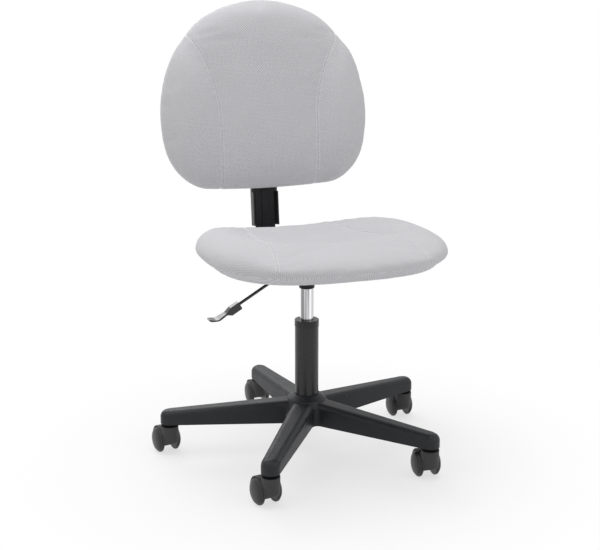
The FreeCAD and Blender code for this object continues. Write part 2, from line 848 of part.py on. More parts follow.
def egg_outline(height, half_width, middle, top, bottom, radii):
    """Closed wire of eight tangent arcs: radii are those of the top, shoulder, side, corner and bottom."""
    top_r, shoulder_r, side_r, corner_r, bottom_r = radii
    top_c = FreeCAD.Vector(0, top - top_r, 0)
    side_c = FreeCAD.Vector(half_width - side_r, middle, 0)
    bottom_c = FreeCAD.Vector(0, bottom + bottom_r, 0)
    shoulder_c = blend_center(top_c, top_r, side_c, side_r, shoulder_r)
    corner_c = blend_center(side_c, side_r, bottom_c, bottom_r, corner_r)
    joints = []
    for center, radius, other in (
        (top_c, top_r, shoulder_c),
        (side_c, side_r, shoulder_c),
        (side_c, side_r, corner_c),
        (bottom_c, bottom_r, corner_c),
    ):
        joints.append(center + (other - center).normalize() * radius)
    right = []
    for center, radius, start, end in (
        (shoulder_c, shoulder_r, joints[0], joints[1]),
        (side_c, side_r, joints[1], joints[2]),
        (corner_c, corner_r, joints[2], joints[3]),
    ):
        outward = ((start - center) + (end - center)).normalize()
        right.append((start, center + outward * radius, end))

    def mirrored(point):
        return FreeCAD.Vector(-point.x, point.y, 0)

    spans = [(mirrored(joints[0]), FreeCAD.Vector(0, top, 0), joints[0])]
    spans += right
    spans.append((joints[3], FreeCAD.Vector(0, bottom, 0), mirrored(joints[3])))
    spans += [(mirrored(end), mirrored(mid), mirrored(start)) for start, mid, end in reversed(right)]
    edges = [Part.Arc(*span).toShape() for span in spans]
    wire = Part.Wire(edges)
    wire.translate(FreeCAD.Vector(0, 0, height))
    return wire


def seat_outline(height, inset):
    """The seat's plan drawn in by an inset."""
    center, half_depth = num("seat_center"), num("seat_half_depth")
    rear = center + half_depth - inset
    front = center - half_depth + inset
    radii = [num(name) - inset for name in (
        "seat_rear_radius", "seat_corner_radius", "seat_side_radius",
        "seat_corner_radius", "seat_front_radius",
    )]
    return egg_outline(height, num("seat_half_width") - inset, (rear + front) / 2, rear, front, radii)


def back_outline(height, inset):
    """The back's outline drawn in by an inset."""
    radii = [num(name) - inset for name in (
        "back_top_radius", "back_shoulder_radius", "back_side_radius",
        "back_corner_radius", "back_bottom_radius",
    )]
    half_width = num("back_half_width") - inset
    return egg_outline(height, half_width, 0, num("back_above") - inset, inset - num("back_below"), radii)


def slab(wire, thickness):
    """A flat piece inside an outline."""
    return Part.Face(wire).extrude(FreeCAD.Vector(0, 0, thickness))


def drilled(solid, spots, radius, low, high):
    """A solid with upright holes between two heights."""
    for x, y in spots:
        drill = Part.makeCylinder(num(radius), num(f"({high}) - ({low})"))
        drill.translate(FreeCAD.Vector(num(x), num(y), num(low)))
        solid = solid.cut(drill)
    return solid


def feature(label, shape):
    """A sub-part made from a shape."""
    item = doc.addObject("Part::Feature", label)
    item.Shape = shape
    return keep(item, label)


def seam_cut(cushion, path, low, high, sink):
    """A sewn channel: a narrow slit along a path, as deep as the cushion moved by sink leaves open."""
    half = num("seam_width") / 2
    slit = path.makeOffset2D(half, 0, False, True)
    other = path.makeOffset2D(-half, 0, False, True)
    caps = [
        Part.LineSegment(slit.OrderedVertexes[end].Point, other.OrderedVertexes[end].Point).toShape()
        for end in (0, -1)
    ]
    face = Part.Face(Part.Wire(Part.__sortEdges__(slit.Edges + other.Edges + caps)))
    wall = face.extrude(FreeCAD.Vector(0, 0, high - low))
    wall.translate(FreeCAD.Vector(0, 0, low))
    lowered = cushion.copy()
    lowered.translate(sink)
    return cushion.cut(wall.cut(lowered))


def seam_path(straight_end, turn, bowed_end):
    """A sewn line: straight to the turn, and from there in an arc that leaves the straight run smoothly."""
    run, chord = turn - straight_end, bowed_end - turn
    swing = math.atan2(run.x * chord.y - run.y * chord.x, run.dot(chord))
    across = FreeCAD.Vector(-chord.y, chord.x, 0)
    middle = turn + chord / 2 - across * (math.tan(swing / 2) / 2)
    sweep = Part.Arc(turn, middle, bowed_end).toShape()
    return Part.Wire([Part.LineSegment(straight_end, turn).toShape(), sweep])


def mirrored_path(path):
    """The same path on the other side of the chair."""
    return path.mirror(FreeCAD.Vector(), FreeCAD.Vector(1, 0, 0))


# Seat: plywood board, dust cover below it and a dished cushion wrapped round its edge

def make_seat_board():
    """Board with recessed tee nuts, and the dust cover under it."""
    board_bottom, board_top = num("board_bottom"), num("board_top")
    board = slab(seat_outline(board_bottom, num("board_inset")), board_top - board_bottom)
    board = drilled(board, SEAT_BOLTS, "tee_barrel + slip_fit", "board_bottom", "board_top")
    board = drilled(board, SEAT_BOLTS, "tee_radius + slip_fit", "board_top - tee_flange", "board_top")
    feature("seat_board", board)
    cover = slab(seat_outline(num("tray_top"), num("board_inset + cover_margin")), num("cover_thickness"))
    cover = drilled(cover, SEAT_BOLTS, "bolt_radius + hole_gap", "tray_top", "board_bottom")
    feature("dust_cover", cover)


def dish():
    """Barrel-shaped hollow of the seat, lowest a little behind the column."""
    low = num("board_bottom + dish_height")
    across, along, place = num("dish_across"), num("dish_along"), num("dish_center")
    half = num("seat_half_width")
    sag = across - math.sqrt(across ** 2 - half ** 2)
    axis_height = low + along
    bow = Part.Arc(
        FreeCAD.Vector(-half, place, low + sag),
        FreeCAD.Vector(0, place, low),
        FreeCAD.Vector(half, place, low + sag),
    ).toShape()
    corners = [(half, low + sag), (half, axis_height), (-half, axis_height), (-half, low + sag)]
    sides = [
        Part.LineSegment(FreeCAD.Vector(a[0], place, a[1]), FreeCAD.Vector(b[0], place, b[1])).toShape()
        for a, b in zip(corners, corners[1:])
    ]
    face = Part.Face(Part.Wire([bow] + sides))
    return face.revolve(FreeCAD.Vector(0, place, axis_height), FreeCAD.Vector(1, 0, 0), 360)


def front_fall():
    """What is taken off above the seat's front, a wide curve turned about the centre of the front edge."""
    front, run = num("seat_center - seat_half_depth"), num("fall_reach")
    start = front + run
    high, low = num("board_bottom + fall_rise"), num("board_bottom + fall_end")
    top, drop = num("board_bottom + 2 * seat_crown"), high - low
    radius = (run ** 2 + drop ** 2) / (2 * drop)
    middle = high - radius + math.sqrt(radius ** 2 - run ** 2 / 4)
    bow = Part.Arc(
        FreeCAD.Vector(0, start, high),
        FreeCAD.Vector(0, start - run / 2, middle),
        FreeCAD.Vector(0, front, low),
    ).toShape()
    corners = [(front, low), (front - drop, low), (front - drop, top), (start, top), (start, high)]
    edges = [
        Part.LineSegment(FreeCAD.Vector(0, *a), FreeCAD.Vector(0, *b)).toShape()
        for a, b in zip(corners, corners[1:])
    ]
    face = Part.Face(Part.Wire([bow] + edges))
    pivot, upright = FreeCAD.Vector(0, front + num("seat_front_radius"), 0), FreeCAD.Vector(0, 0, 1)
    face.rotate(pivot, upright, -num("fall_spread"))
    return face.revolve(pivot, upright, 2 * num("fall_spread"))


def make_seat_cushion():
    """Crowned cushion with drawn-in sides, a front that falls away, a dish and two sewn channels."""
    bottom = num("board_bottom")
    rim, crown = num("seat_rim"), num("seat_crown")
    tuck, crown_inset = num("seat_tuck"), num("seat_crown_inset")
    below = [(0.0, 1.0), (0.3, 0.74), (0.62, 0.32)]
    above = [(0.32, 0.035), (0.62, 0.17), (0.86, 0.49), (1.0, 1.0)]
    sections = [seat_outline(bottom + rim * share, tuck * draw) for share, draw in below]
    sections.append(seat_outline(bottom + rim, 0.0))
    for share, draw in above:
        sections.append(seat_outline(bottom + rim + (crown - rim) * share, crown_inset * draw))
    cushion = Part.makeLoft(sections, True, False, False, 3)
    cushion = cushion.cut(dish()).cut(front_fall())
    rear = FreeCAD.Vector(num("seat_seam_rear"), num("seat_center + seat_half_depth"), 0)
    turn = FreeCAD.Vector(num("seat_seam_turn"), num("seat_seam_place"), 0)
    front = FreeCAD.Vector(num("seat_seam_front"), num("seat_center - seat_half_depth"), 0)
    path = seam_path(front, turn, rear)
    depth = num("seam_depth")
    for side in (path, mirrored_path(path)):
        cushion = seam_cut(cushion, side, bottom, bottom + crown + depth, FreeCAD.Vector(0, depth, -depth))
    recess = slab(seat_outline(bottom, num("board_inset - soft_gap")), num("board_thickness + soft_gap"))
    feature("seat_cushion", cushion.cut(recess))


# Back: board, padded front wrapped round its edge, and a rear panel

def make_back():
    """Pieces in the back's own frame, then leaned into place."""
    panel, board_top = num("panel_thickness"), num("back_board_top")
    board = slab(back_outline(panel, num("back_board_inset")), board_top - panel)
    board = drilled(board, BACK_BOLTS, "tee_barrel + slip_fit", "panel_thickness", "back_board_top")
    flange_low = "back_board_top - tee_flange"
    board = drilled(board, BACK_BOLTS, "tee_radius + slip_fit", flange_low, "back_board_top")
    lean(feature("back_board", board))
    rear = slab(back_outline(0, num("panel_inset")), panel)
    rear = drilled(rear, BACK_BOLTS, "bolt_radius + hole_gap", "0", "panel_thickness")
    lean(feature("rear_panel", rear))
    rim, thickness, crown = num("back_rim"), num("back_thickness"), num("back_crown_inset")
    below = [(0.06, 0.13), (0.3, 0.055), (0.62, 0.012)]
    above = [(0.36, 0.04), (0.66, 0.17), (0.88, 0.46), (1.0, 1.0)]
    sections = [back_outline(rim * share, crown * draw) for share, draw in below]
    sections.append(back_outline(rim, 0.0))
    for share, draw in above:
        sections.append(back_outline(rim + (thickness - rim) * share, crown * draw))
    cushion = Part.makeLoft(sections, True, False, False, 3)
    foot = FreeCAD.Vector(num("back_seam_low"), -num("back_below"), 0)
    turn = FreeCAD.Vector(num("back_seam_low"), num("back_seam_turn"), 0)
    head = FreeCAD.Vector(num("back_seam_high"), num("back_seam_top"), 0)
    path = seam_path(foot, turn, head)
    depth = num("seam_depth")
    for side in (path, mirrored_path(path)):
        cushion = seam_cut(cushion, side, 0, thickness + depth, FreeCAD.Vector(0, 0, -depth))
    gap = num("soft_gap")
    cushion = cushion.cut(slab(back_outline(0, num("panel_inset") - gap), panel + gap))
    cushion = cushion.cut(slab(back_outline(0, num("back_board_inset") - gap), board_top + gap))
    lean(feature("back_cushion", cushion))


def make_back_fasteners():
    """Bolts through the bar into tee nuts in the back board."""
    bolts = turned("back_bolts", [
        ("0", "-bar_back - bolt_head_height"),
        ("bolt_head_radius", "-bar_back - bolt_head_height"),
        ("bolt_head_radius", "-bar_back"),
        ("bolt_radius", "-bar_back"),
        ("bolt_radius", "back_board_top - tee_flange / 2"),
        ("0", "back_board_top - tee_flange / 2"),
    ], BACK_BOLTS)
    nuts = turned("back_tee_nuts", [
        ("tee_bore", "back_board_top - tee_length"),
        ("tee_barrel", "back_board_top - tee_length"),
        ("tee_barrel", "back_board_top - tee_flange"),
        ("tee_radius", "back_board_top - tee_flange"),
        ("tee_radius", "back_board_top"),
        ("tee_bore", "back_board_top"),
    ], BACK_BOLTS)
    lean(bolts)
    lean(nuts)


# Back bar: flat steel bent up behind the seat, with a bead along its upright, and its channel cover

def make_back_bar():
    """Bar bent in its side view, with a bead and bolt holes."""
    body = new_body("back_bar")
    side = new_sketch(body, "YZ_Plane")
    run = "(bar_top - bar_face) * tan(recline)"
    add_outline(side, [
        ("bar_start", "tray_floor"),
        ("bar_outer", "tray_floor", "bar_bend + bar_thickness"),
        (f"bar_inner + {run} + bar_thickness / cos(recline)", "bar_top"),
        (f"bar_inner + {run}", "bar_top"),
        ("bar_inner", "bar_face", "bar_bend"),
        ("bar_start", "bar_face"),
    ])
    pad(body, side, "bar_width", "Symmetric")
    bead = new_sketch(body, "YZ_Plane")
    bead_top = "back_middle - back_below - bolt_head_height"
    bead_run = f"(({bead_top}) - bar_face) * tan(recline)"
    lift = "bead_height / cos(recline)"
    add_outline(bead, [
        ("tray_half_depth", "bar_face - bar_thickness / 2"),
        ("bar_inner + bar_thickness / 2", "bar_face - bar_thickness / 2", "bar_bend + bar_thickness / 2"),
        (f"bar_inner + {bead_run} + bar_thickness / 2", bead_top),
        (f"bar_inner + {bead_run} - {lift}", bead_top),
        ("bar_inner - bead_height", "bar_face + bead_height", "bar_bend - bead_height"),
        ("tray_half_depth", "bar_face + bead_height"),
    ])
    pad(body, bead, "bead_width", "Symmetric")
    floor_holes = new_sketch(body, "XY_Plane", ("0", "0", "bar_face"))
    for x, y in BAR_BOLTS:
        add_circle(floor_holes, x, y, "bolt_radius + hole_gap")
    pocket(body, floor_holes, "2 * bar_thickness")
    back_holes = new_sketch(body, "XZ_Plane", ("0", "back_middle", "-back_rear"), "-recline")
    for x, y in BACK_BOLTS:
        add_circle(back_holes, x, y, "bolt_radius + hole_gap")
    pocket(body, back_holes, "2 * bar_back")
    turned("bar_bolts", [
        ("0", "tray_bottom - bolt_head_height"),
        ("bolt_head_radius", "tray_bottom - bolt_head_height"),
        ("bolt_head_radius", "tray_bottom"),
        ("bolt_radius", "tray_bottom"),
        ("bolt_radius", "bar_face + nut_height + bolt_radius / 2"),
        ("0", "bar_face + nut_height + bolt_radius / 2"),
    ], BAR_BOLTS)
    nut_section = tube_section("tee_bore", "bolt_head_radius", "bar_face", "bar_face + nut_height")
    turned("bar_nuts", nut_section, BAR_BOLTS)


def make_bar_cover():
    """Channel cover over the upright: flared flanges below the back, lower ones behind it."""
    body = new_body("bar_cover")
    section = new_sketch(body, "XZ_Plane", ("0", "0", "-sleeve_low"))
    half, inner = "sleeve_width / 2", "bar_width / 2 + sleeve_play"
    floor = "sleeve_wall - sleeve_back"
    right = [
        (half, "-sleeve_back", "sleeve_round"),
        (f"{half} - sleeve_lip / 2", "sleeve_brow"),
        (f"{inner} + sleeve_flare", "sleeve_brow"),
        (inner, "0"),
        (inner, floor),
    ]
    left = [(f"-({corner[0]})",) + corner[1:] for corner in reversed(right)]
    add_outline(section, right + left)
    pad(body, section, "sleeve_high - sleeve_low", "One side", True)
    behind = new_sketch(body, "XY_Plane", ("0", "0", "-bar_gap"))
    add_outline(behind, rectangle(
        "-sleeve_width", "sleeve_width", "-back_below - sleeve_brow", "sleeve_high + sleeve_brow"
    ))
    pocket(body, behind, "2 * sleeve_brow", "One side", True)
    end = new_sketch(body, "XZ_Plane", ("0", "0", "-sleeve_high"))
    add_outline(end, rectangle(
        f"-({half}) + sleeve_round", f"{half} - sleeve_round", "-sleeve_back + sleeve_wall / 2", "-bar_gap"
    ))
    pad(body, end, "sleeve_wall")
    lean(body)


# Lever: bent rod with a tongue over the valve pin, and a moulded paddle

def lever_frame():
    """Frame at the lever's pivot, X out along the sloping rod and Z above it."""
    slope = math.radians(num("lever_drop"))
    out = FreeCAD.Vector(-math.cos(slope), 0, -math.sin(slope))
    above = FreeCAD.Vector(-math.sin(slope), 0, math.cos(slope))
    base = FreeCAD.Vector(-num("tray_half_width"), num("lever_plane"), num("lever_height"))
    return FreeCAD.Placement(base, FreeCAD.Rotation(out, above.cross(out), above, "ZXY"))


def make_lever():
    """Rod in two straight runs, its tongue, and the handle on its end."""
    pivot = lever_frame()
    quarter = FreeCAD.Placement(FreeCAD.Vector(), FreeCAD.Rotation(FreeCAD.Vector(0, 1, 0), 90))
    outer = doc.addObject("Part::Cylinder", "lever_outer")
    bind(outer, "Radius", "lever_radius")
    bind(outer, "Height", "lever_reach + lever_grip")
    outer.Placement = pivot.multiply(quarter)
    inner = doc.addObject("Part::Cylinder", "lever_inner")
    bind(inner, "Radius", "lever_radius")
    bind(inner, "Height", "tray_half_width + lever_end")
    inner.Placement = FreeCAD.Placement(pivot.Base, quarter.Rotation)
    elbow = doc.addObject("Part::Sphere", "lever_elbow")
    bind(elbow, "Radius", "lever_radius")
    elbow.Placement = FreeCAD.Placement(pivot.Base, FreeCAD.Rotation())
    tongue = doc.addObject("Part::Box", "lever_tongue")
    bind(tongue, "Length", "tongue_width")
    bind(tongue, "Width", "tongue_overlap - lever_plane")
    bind(tongue, "Height", "tongue_thickness")
    bind(tongue, ".Placement.Base.x", "-tongue_width / 2")
    bind(tongue, ".Placement.Base.y", "lever_plane")
    bind(tongue, ".Placement.Base.z", "lever_height - tongue_thickness / 2")
    rod = doc.addObject("Part::MultiFuse", "lever_rod")
    rod.Shapes = [inner, elbow, outer, tongue]
    keep(rod, "lever_rod")

    body = new_body("lever_handle")
    start, end = "lever_reach", "(lever_reach + handle_length)"
    mid = "paddle_thickness / 2"
    block_end = f"{start} + handle_block"
    bend = f"{end} - handle_block * 2 / 3"
    tip = f"{end} + handle_above / 8"
    before = f"{start} - {mid}"
    profile = new_sketch(body, "XZ_Plane")
    add_outline(profile, [
        (start, "-handle_below", "handle_above / 4"),
        (f"{block_end} - {mid}", "-handle_below", "handle_above"),
        (f"{block_end} + handle_above", f"-{mid}", "handle_above"),
        (bend, f"-{mid}", "handle_block * 4 / 5"),
        (f"{end} - {mid}", f"paddle_curl - paddle_thickness", "handle_above / 3"),
        (end, "paddle_curl", "handle_above / 6"),
        (f"{end} - {mid}", "paddle_curl", "handle_above / 6"),
        (f"{bend} + {mid}", f"{mid} - handle_above / 6", "handle_block * 3 / 5"),
        (f"{block_end} + handle_above", f"{mid} - handle_above / 6", "handle_block / 2"),
        (f"{block_end} - handle_above", "handle_above", "handle_above"),
        (start, "handle_above", "handle_above / 4"),
    ])
    pad(body, profile, "paddle_width", "Symmetric")
    for direction in ("", "-"):
        side = new_sketch(body, "XY_Plane", ("0", "0", "-2 * paddle_curl"))
        add_outline(side, [
            (before, f"{direction}handle_width / 2"),
            (f"{block_end} - handle_above", f"{direction}handle_width / 2", "handle_block / 2"),
            (bend, f"{direction}paddle_width / 2", "handle_block / 2"),
            (tip, f"{direction}paddle_width / 2", "paddle_width * 0.46"),
            (tip, "0"),
            (f"{tip} + handle_block", "0"),
            (f"{tip} + handle_block", f"{direction}paddle_width"),
            (before, f"{direction}paddle_width"),
        ])
        pocket(body, side, "4 * paddle_curl", "One side", True)
    bore = new_sketch(body, "YZ_Plane", ("0", "0", start))
    add_circle(bore, "0", "0", "lever_radius + slip_fit")
    pocket(body, bore, "lever_grip + slip_fit", "One side", True)
    body.Placement = pivot


# Casters: hooded body, axle and two domed wheels, and the stems that hold them in the arms

def caster_placement(index):
    """Frame of a caster: its stem on the floor, with its wheels trailing along +Y."""
    angle = math.radians(num(f"arm_angle + {index} * 360 / arm_count"))
    radius = num("stem_circle")
    base = FreeCAD.Vector(radius * math.cos(angle), radius * math.sin(angle), 0)
    turn = num(f"caster_{index + 1}_trail") - 90
    return FreeCAD.Placement(base, FreeCAD.Rotation(FreeCAD.Vector(0, 0, 1), turn))


def cross_cylinder(radius, low, high):
    """A cylinder along X round the axle, between two distances across the caster."""
    item = doc.addObject("Part::Cylinder", "across")
    bind(item, "Radius", radius)
    bind(item, "Height", f"({high}) - ({low})")
    item.Placement = FreeCAD.Placement(
        FreeCAD.Vector(), FreeCAD.Rotation(FreeCAD.Vector(0, 1, 0), 90)
    )
    bind(item, ".Placement.Base.x", low)
    bind(item, ".Placement.Base.y", "trail")
    bind(item, ".Placement.Base.z", "wheel_radius")
    return item


def upright_cylinder(radius, low, high):
    """A cylinder round the stem between two heights."""
    item = doc.addObject("Part::Cylinder", "upright")
    bind(item, "Radius", radius)
    bind(item, "Height", f"({high}) - ({low})")
    bind(item, ".Placement.Base.z", low)
    return item


def make_caster_body(label, placement):
    """Barrel, axle web and hood, cut clear of the wheels, the axle and the stem."""
    barrel = bare_body("barrel")
    half = new_sketch(barrel, "XZ_Plane")
    add_outline(half, [
        ("0", "barrel_rise"),
        ("barrel_radius", "barrel_rise", "barrel_round"),
        ("barrel_radius", "caster_top"),
        ("0", "caster_top"),
    ])
    spin(barrel, half)
    web = cross_cylinder("web_radius", "web_gap - wheel_gap / 2", "wheel_gap / 2 - web_gap")
    fender = cross_cylinder("fender_radius", "-fender_width / 2", "fender_width / 2")
    under = doc.addObject("Part::Box", "under_fender")
    bind(under, "Length", "2 * fender_width")
    bind(under, "Width", "4 * fender_radius")
    bind(under, "Height", "wheel_radius + barrel_rise")
    bind(under, ".Placement.Base.x", "-fender_width")
    bind(under, ".Placement.Base.y", "trail - 2 * fender_radius")
    bind(under, ".Placement.Base.z", "-wheel_radius")
    hood = doc.addObject("Part::Cut", "hood")
    hood.Base = fender
    hood.Tool = under
    solid = doc.addObject("Part::MultiFuse", "caster_solid")
    solid.Shapes = [barrel, web, hood]
    inside = "wheel_gap / 2 - web_gap"
    clear = "wheel_radius + fender_gap"
    holes = doc.addObject("Part::MultiFuse", "caster_holes")
    holes.Shapes = [
        cross_cylinder(clear, inside, f"{inside} + 2 * wheel_width"),
        cross_cylinder(clear, f"-({inside}) - 2 * wheel_width", f"-({inside})"),
        cross_cylinder("axle_radius + slip_fit", "-wheel_gap", "wheel_gap"),
        upright_cylinder("stem_radius + running_fit", "stem_foot - stop_gap", "caster_top + neck_height"),
    ]
    body = doc.addObject("Part::Cut", label)
    body.Base = solid
    body.Tool = holes
    body.Placement = placement
    keep(body, label)


def make_wheel(label, placement, side):
    """Domed wheel, turned about its own axis from its inner face outwards."""
    wheel = turned(label, [
        ("axle_radius + running_fit", "0"),
        ("wheel_radius - wheel_edge / 2", "0"),
        ("wheel_radius", "wheel_edge / 2"),
        ("wheel_radius", "tread_width", "wheel_edge"),
        ("disc_radius", "wheel_width - disc_drop", "4 * wheel_edge"),
        ("disc_radius / 2", "wheel_width - disc_drop / 8", "2 * disc_radius"),
        ("0", "wheel_width"),
        ("0", "axle_depth"),
        ("axle_radius + running_fit", "axle_depth"),
    ])
    face = FreeCAD.Vector(side * num("wheel_gap / 2"), num("trail"), num("wheel_radius"))
    across = FreeCAD.Rotation(FreeCAD.Vector(0, 1, 0), 90 * side)
    wheel.Placement = placement.multiply(FreeCAD.Placement(face, across))


def make_casters():
    """Five casters, each turned its own way, and the pieces that hold them."""
    for index in range(round(num("arm_count"))):
        name = f"caster_{index + 1}"
        placement = caster_placement(index)
        make_caster_body(f"{name}_body", placement)
        reach = "(wheel_gap / 2 + axle_depth - soft_gap)"
        axle = cross_cylinder("axle_radius", f"-{reach}", reach)
        keep(axle, f"{name}_axle")
        axle.setExpression(".Placement.Base.x", None)
        axle.setExpression(".Placement.Base.y", None)
        axle.setExpression(".Placement.Base.z", None)
        seat = FreeCAD.Vector(-num(reach), num("trail"), num("wheel_radius"))
        axle.Placement = placement.multiply(FreeCAD.Placement(seat, axle.Placement.Rotation))
        make_wheel(f"{name}_wheel_left", placement, 1)
        make_wheel(f"{name}_wheel_right", placement, -1)
    ring_low = "arm_bottom + ring_height"
    ring_high = f"{ring_low} + ring_length"
    stem_group("caster_stems", [
        ("0", "stem_foot"),
        ("stem_radius", "stem_foot"),
        ("stem_radius", f"{ring_low} - slip_fit"),
        ("stem_radius - ring_depth", f"{ring_low} - slip_fit"),
        ("stem_radius - ring_depth", f"{ring_high} + slip_fit"),
        ("stem_radius", f"{ring_high} + slip_fit"),
        ("stem_radius", "stem_head"),
        ("0", "stem_head"),
    ])
    ring_bore = "stem_radius - ring_depth + slip_fit"
    stem_group("grip_rings", tube_section(ring_bore, "stem_radius", ring_low, ring_high))
    stem_group("stem_collars", tube_section(
        "stem_radius + slip_fit", "neck_radius", "caster_top + soft_gap", "arm_bottom"
    ))


make_star_base()
make_column()
make_bearing()
make_rod()
make_gas_spring()
make_seat_plate()
make_seat_fasteners()
make_seat_board()
make_seat_cushion()
make_back_bar()
make_bar_cover()
make_back()
make_back_fasteners()
make_lever()
make_casters()
doc.recompute()

for item in doc.Objects:
    if "Invalid" in item.State or "Error" in item.State:
        raise RuntimeError(f"{item.Label} did not build: {item.State}")
for item in PARTS:
    if item.Shape.isNull() or not item.Shape.isValid() or not item.Shape.Solids:
        raise RuntimeError(f"{item.Label} has no valid solid")

os.makedirs("parts", exist_ok=True)
for item in PARTS:
    item.Shape.exportStep(f"parts/{item.Label}.step")
print(f"{len(PARTS)} sub-parts written")
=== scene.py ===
# %% [markdown]
# # An office chair, dressed on its frame
# The chair's solids come from its construction model, already in place and in metres.
# They could be modelled again here, but then they would drift from the parts that move.
# So this lesson keeps the hard pieces, gives them their finishes, and makes only what a solid can't show:
# the upholstered seat and back, the fabric panel behind, the cloth under the seat, and the sewing.

import json
import math

import bpy
import numpy as np
from mathutils import Matrix, Vector
from mathutils.kdtree import KDTree


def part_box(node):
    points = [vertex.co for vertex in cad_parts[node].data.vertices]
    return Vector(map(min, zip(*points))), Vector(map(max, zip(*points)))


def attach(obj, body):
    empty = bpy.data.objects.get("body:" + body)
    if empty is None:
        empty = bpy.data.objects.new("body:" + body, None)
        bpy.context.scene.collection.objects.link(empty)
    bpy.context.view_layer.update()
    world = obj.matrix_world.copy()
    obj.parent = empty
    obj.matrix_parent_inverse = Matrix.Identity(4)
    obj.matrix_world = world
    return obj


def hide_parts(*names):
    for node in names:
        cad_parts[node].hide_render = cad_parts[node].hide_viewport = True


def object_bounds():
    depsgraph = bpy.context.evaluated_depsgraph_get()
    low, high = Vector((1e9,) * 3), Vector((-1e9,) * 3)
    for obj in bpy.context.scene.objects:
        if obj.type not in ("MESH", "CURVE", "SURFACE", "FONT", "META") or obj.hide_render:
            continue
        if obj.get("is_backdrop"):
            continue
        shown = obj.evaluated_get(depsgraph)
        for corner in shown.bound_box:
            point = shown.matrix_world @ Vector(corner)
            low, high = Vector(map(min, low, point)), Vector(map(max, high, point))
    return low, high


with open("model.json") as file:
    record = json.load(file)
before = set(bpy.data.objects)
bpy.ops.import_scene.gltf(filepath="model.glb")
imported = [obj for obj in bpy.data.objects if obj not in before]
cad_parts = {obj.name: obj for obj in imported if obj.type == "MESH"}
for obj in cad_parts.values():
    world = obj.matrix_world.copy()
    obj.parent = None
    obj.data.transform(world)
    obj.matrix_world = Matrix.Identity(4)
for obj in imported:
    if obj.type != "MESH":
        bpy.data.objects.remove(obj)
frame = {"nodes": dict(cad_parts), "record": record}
cad_low, cad_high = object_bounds()
scene = bpy.context.scene

# %% [markdown]
# ## Camera
# The photograph shows the chair from its front right corner, a little above the seat.
# A camera could be placed by eye, but the lens and the place here were worked out from sizes that are known:
# the column's width and the five arms of the base, so straight edges and ellipses fall where they should.

# %% Camera
PHOTO_WIDTH = 600
FOCAL_PIXELS = 1149.54
SENSOR_WIDTH = 36.0
CAMERA_PLACE = (-0.7945, -2.1828, 0.970)
CAMERA_TURN = math.radians(-19.65)
CAMERA_TILT = math.radians(14.06)

lens = bpy.data.cameras.new("photo_camera")
lens.sensor_width = SENSOR_WIDTH
lens.lens = FOCAL_PIXELS * SENSOR_WIDTH / PHOTO_WIDTH
camera = bpy.data.objects.new("photo_camera", lens)
scene.collection.objects.link(camera)
level_sight = Vector((0, math.cos(CAMERA_TILT), -math.sin(CAMERA_TILT)))
sight = Matrix.Rotation(CAMERA_TURN, 3, "Z") @ level_sight
camera.location = CAMERA_PLACE
camera.rotation_mode = "QUATERNION"
camera.rotation_quaternion = sight.to_track_quat("-Z", "Y")
scene.camera = camera
scene.view_settings.view_transform = "Standard"
print(f"camera: {lens.lens:.1f} mm lens")

# %% [markdown]
# ## Node trees
# World, floor and finishes are all trees of nodes, wired one socket to another.
# They could be wired line by line, but two small helpers say the same in a third of the length.
# The third tells what is looked at from what is only lit, which a white studio needs.

# %% Helpers for node trees
def add_node(tree, kind, **settings):
    """A new node with its settings.

    sockets={...} holds a number, a colour or another node's socket for each input.
    """
    sockets = settings.pop("sockets", {})
    node = tree.nodes.new(kind)
    for key, value in settings.items():
        setattr(node, key, value)
    for key, value in sockets.items():
        if isinstance(value, bpy.types.NodeSocket):
            tree.links.new(value, node.inputs[key])
        else:
            node.inputs[key].default_value = value
    return node


def calc(tree, operation, first, second=0.0):
    """The output of a Math node."""
    return add_node(tree, "ShaderNodeMath", operation=operation, sockets={0: first, 1: second}).outputs[0]


def between(tree, value, low, high, start=0.0, end=1.0, **settings):
    """A value from start to end, spread between low and high."""
    sockets = {"Value": value, "From Min": start, "From Max": end, "To Min": low, "To Max": high}
    return add_node(tree, "ShaderNodeMapRange", sockets=sockets, **settings).outputs[0]


def seen_directly(tree):
    """1 for rays from the camera, in a reflection or through glass, and 0 for light that falls on things."""
    path = add_node(tree, "ShaderNodeLightPath")
    reflected = calc(tree, "MAXIMUM", path.outputs["Is Glossy Ray"], path.outputs["Is Transmission Ray"])
    return calc(tree, "MAXIMUM", path.outputs["Is Camera Ray"], reflected)


print("helpers for node trees")

# %% [markdown]
# ## White studio
# The chair stands in a white studio, lit from all round and a little more from above.
# Turning the lamps up until the backdrop burns out would wash out the fabric as well.
# Instead the backdrop is white only to the camera and to reflections, and lights the chair more gently.

# %% World
SKY_LIGHT = 0.50
WHITE = (1, 1, 1, 1)

world = bpy.data.worlds.new("white_studio")
world.use_nodes = True
scene.world = world
sky = world.node_tree
sky.nodes.clear()
fill = add_node(sky, "ShaderNodeBackground", sockets={"Color": WHITE, "Strength": SKY_LIGHT})
backdrop = add_node(sky, "ShaderNodeBackground", sockets={"Color": WHITE, "Strength": 1.0})
sky_mix = add_node(sky, "ShaderNodeMixShader", sockets={
    0: seen_directly(sky), 1: fill.outputs[0], 2: backdrop.outputs[0]})
add_node(sky, "ShaderNodeOutputWorld", sockets={"Surface": sky_mix.outputs[0]})
print("world: white behind, fill", SKY_LIGHT)

# %% [markdown]
# ## Floor
# The floor is a sweep of white paper that keeps only a soft shadow round the casters.
# Plain white paper would still look grey in this light.
# So to the eye it glows: partly near the chair, and fully further out.

# %% Floor
FLOOR_RADIUS = 9.0
PAPER_WHITE = (0.90, 0.90, 0.905, 1)
GLOW_NEAR = 0.66
GLOW_FROM, GLOW_FULL = 0.28, 0.72

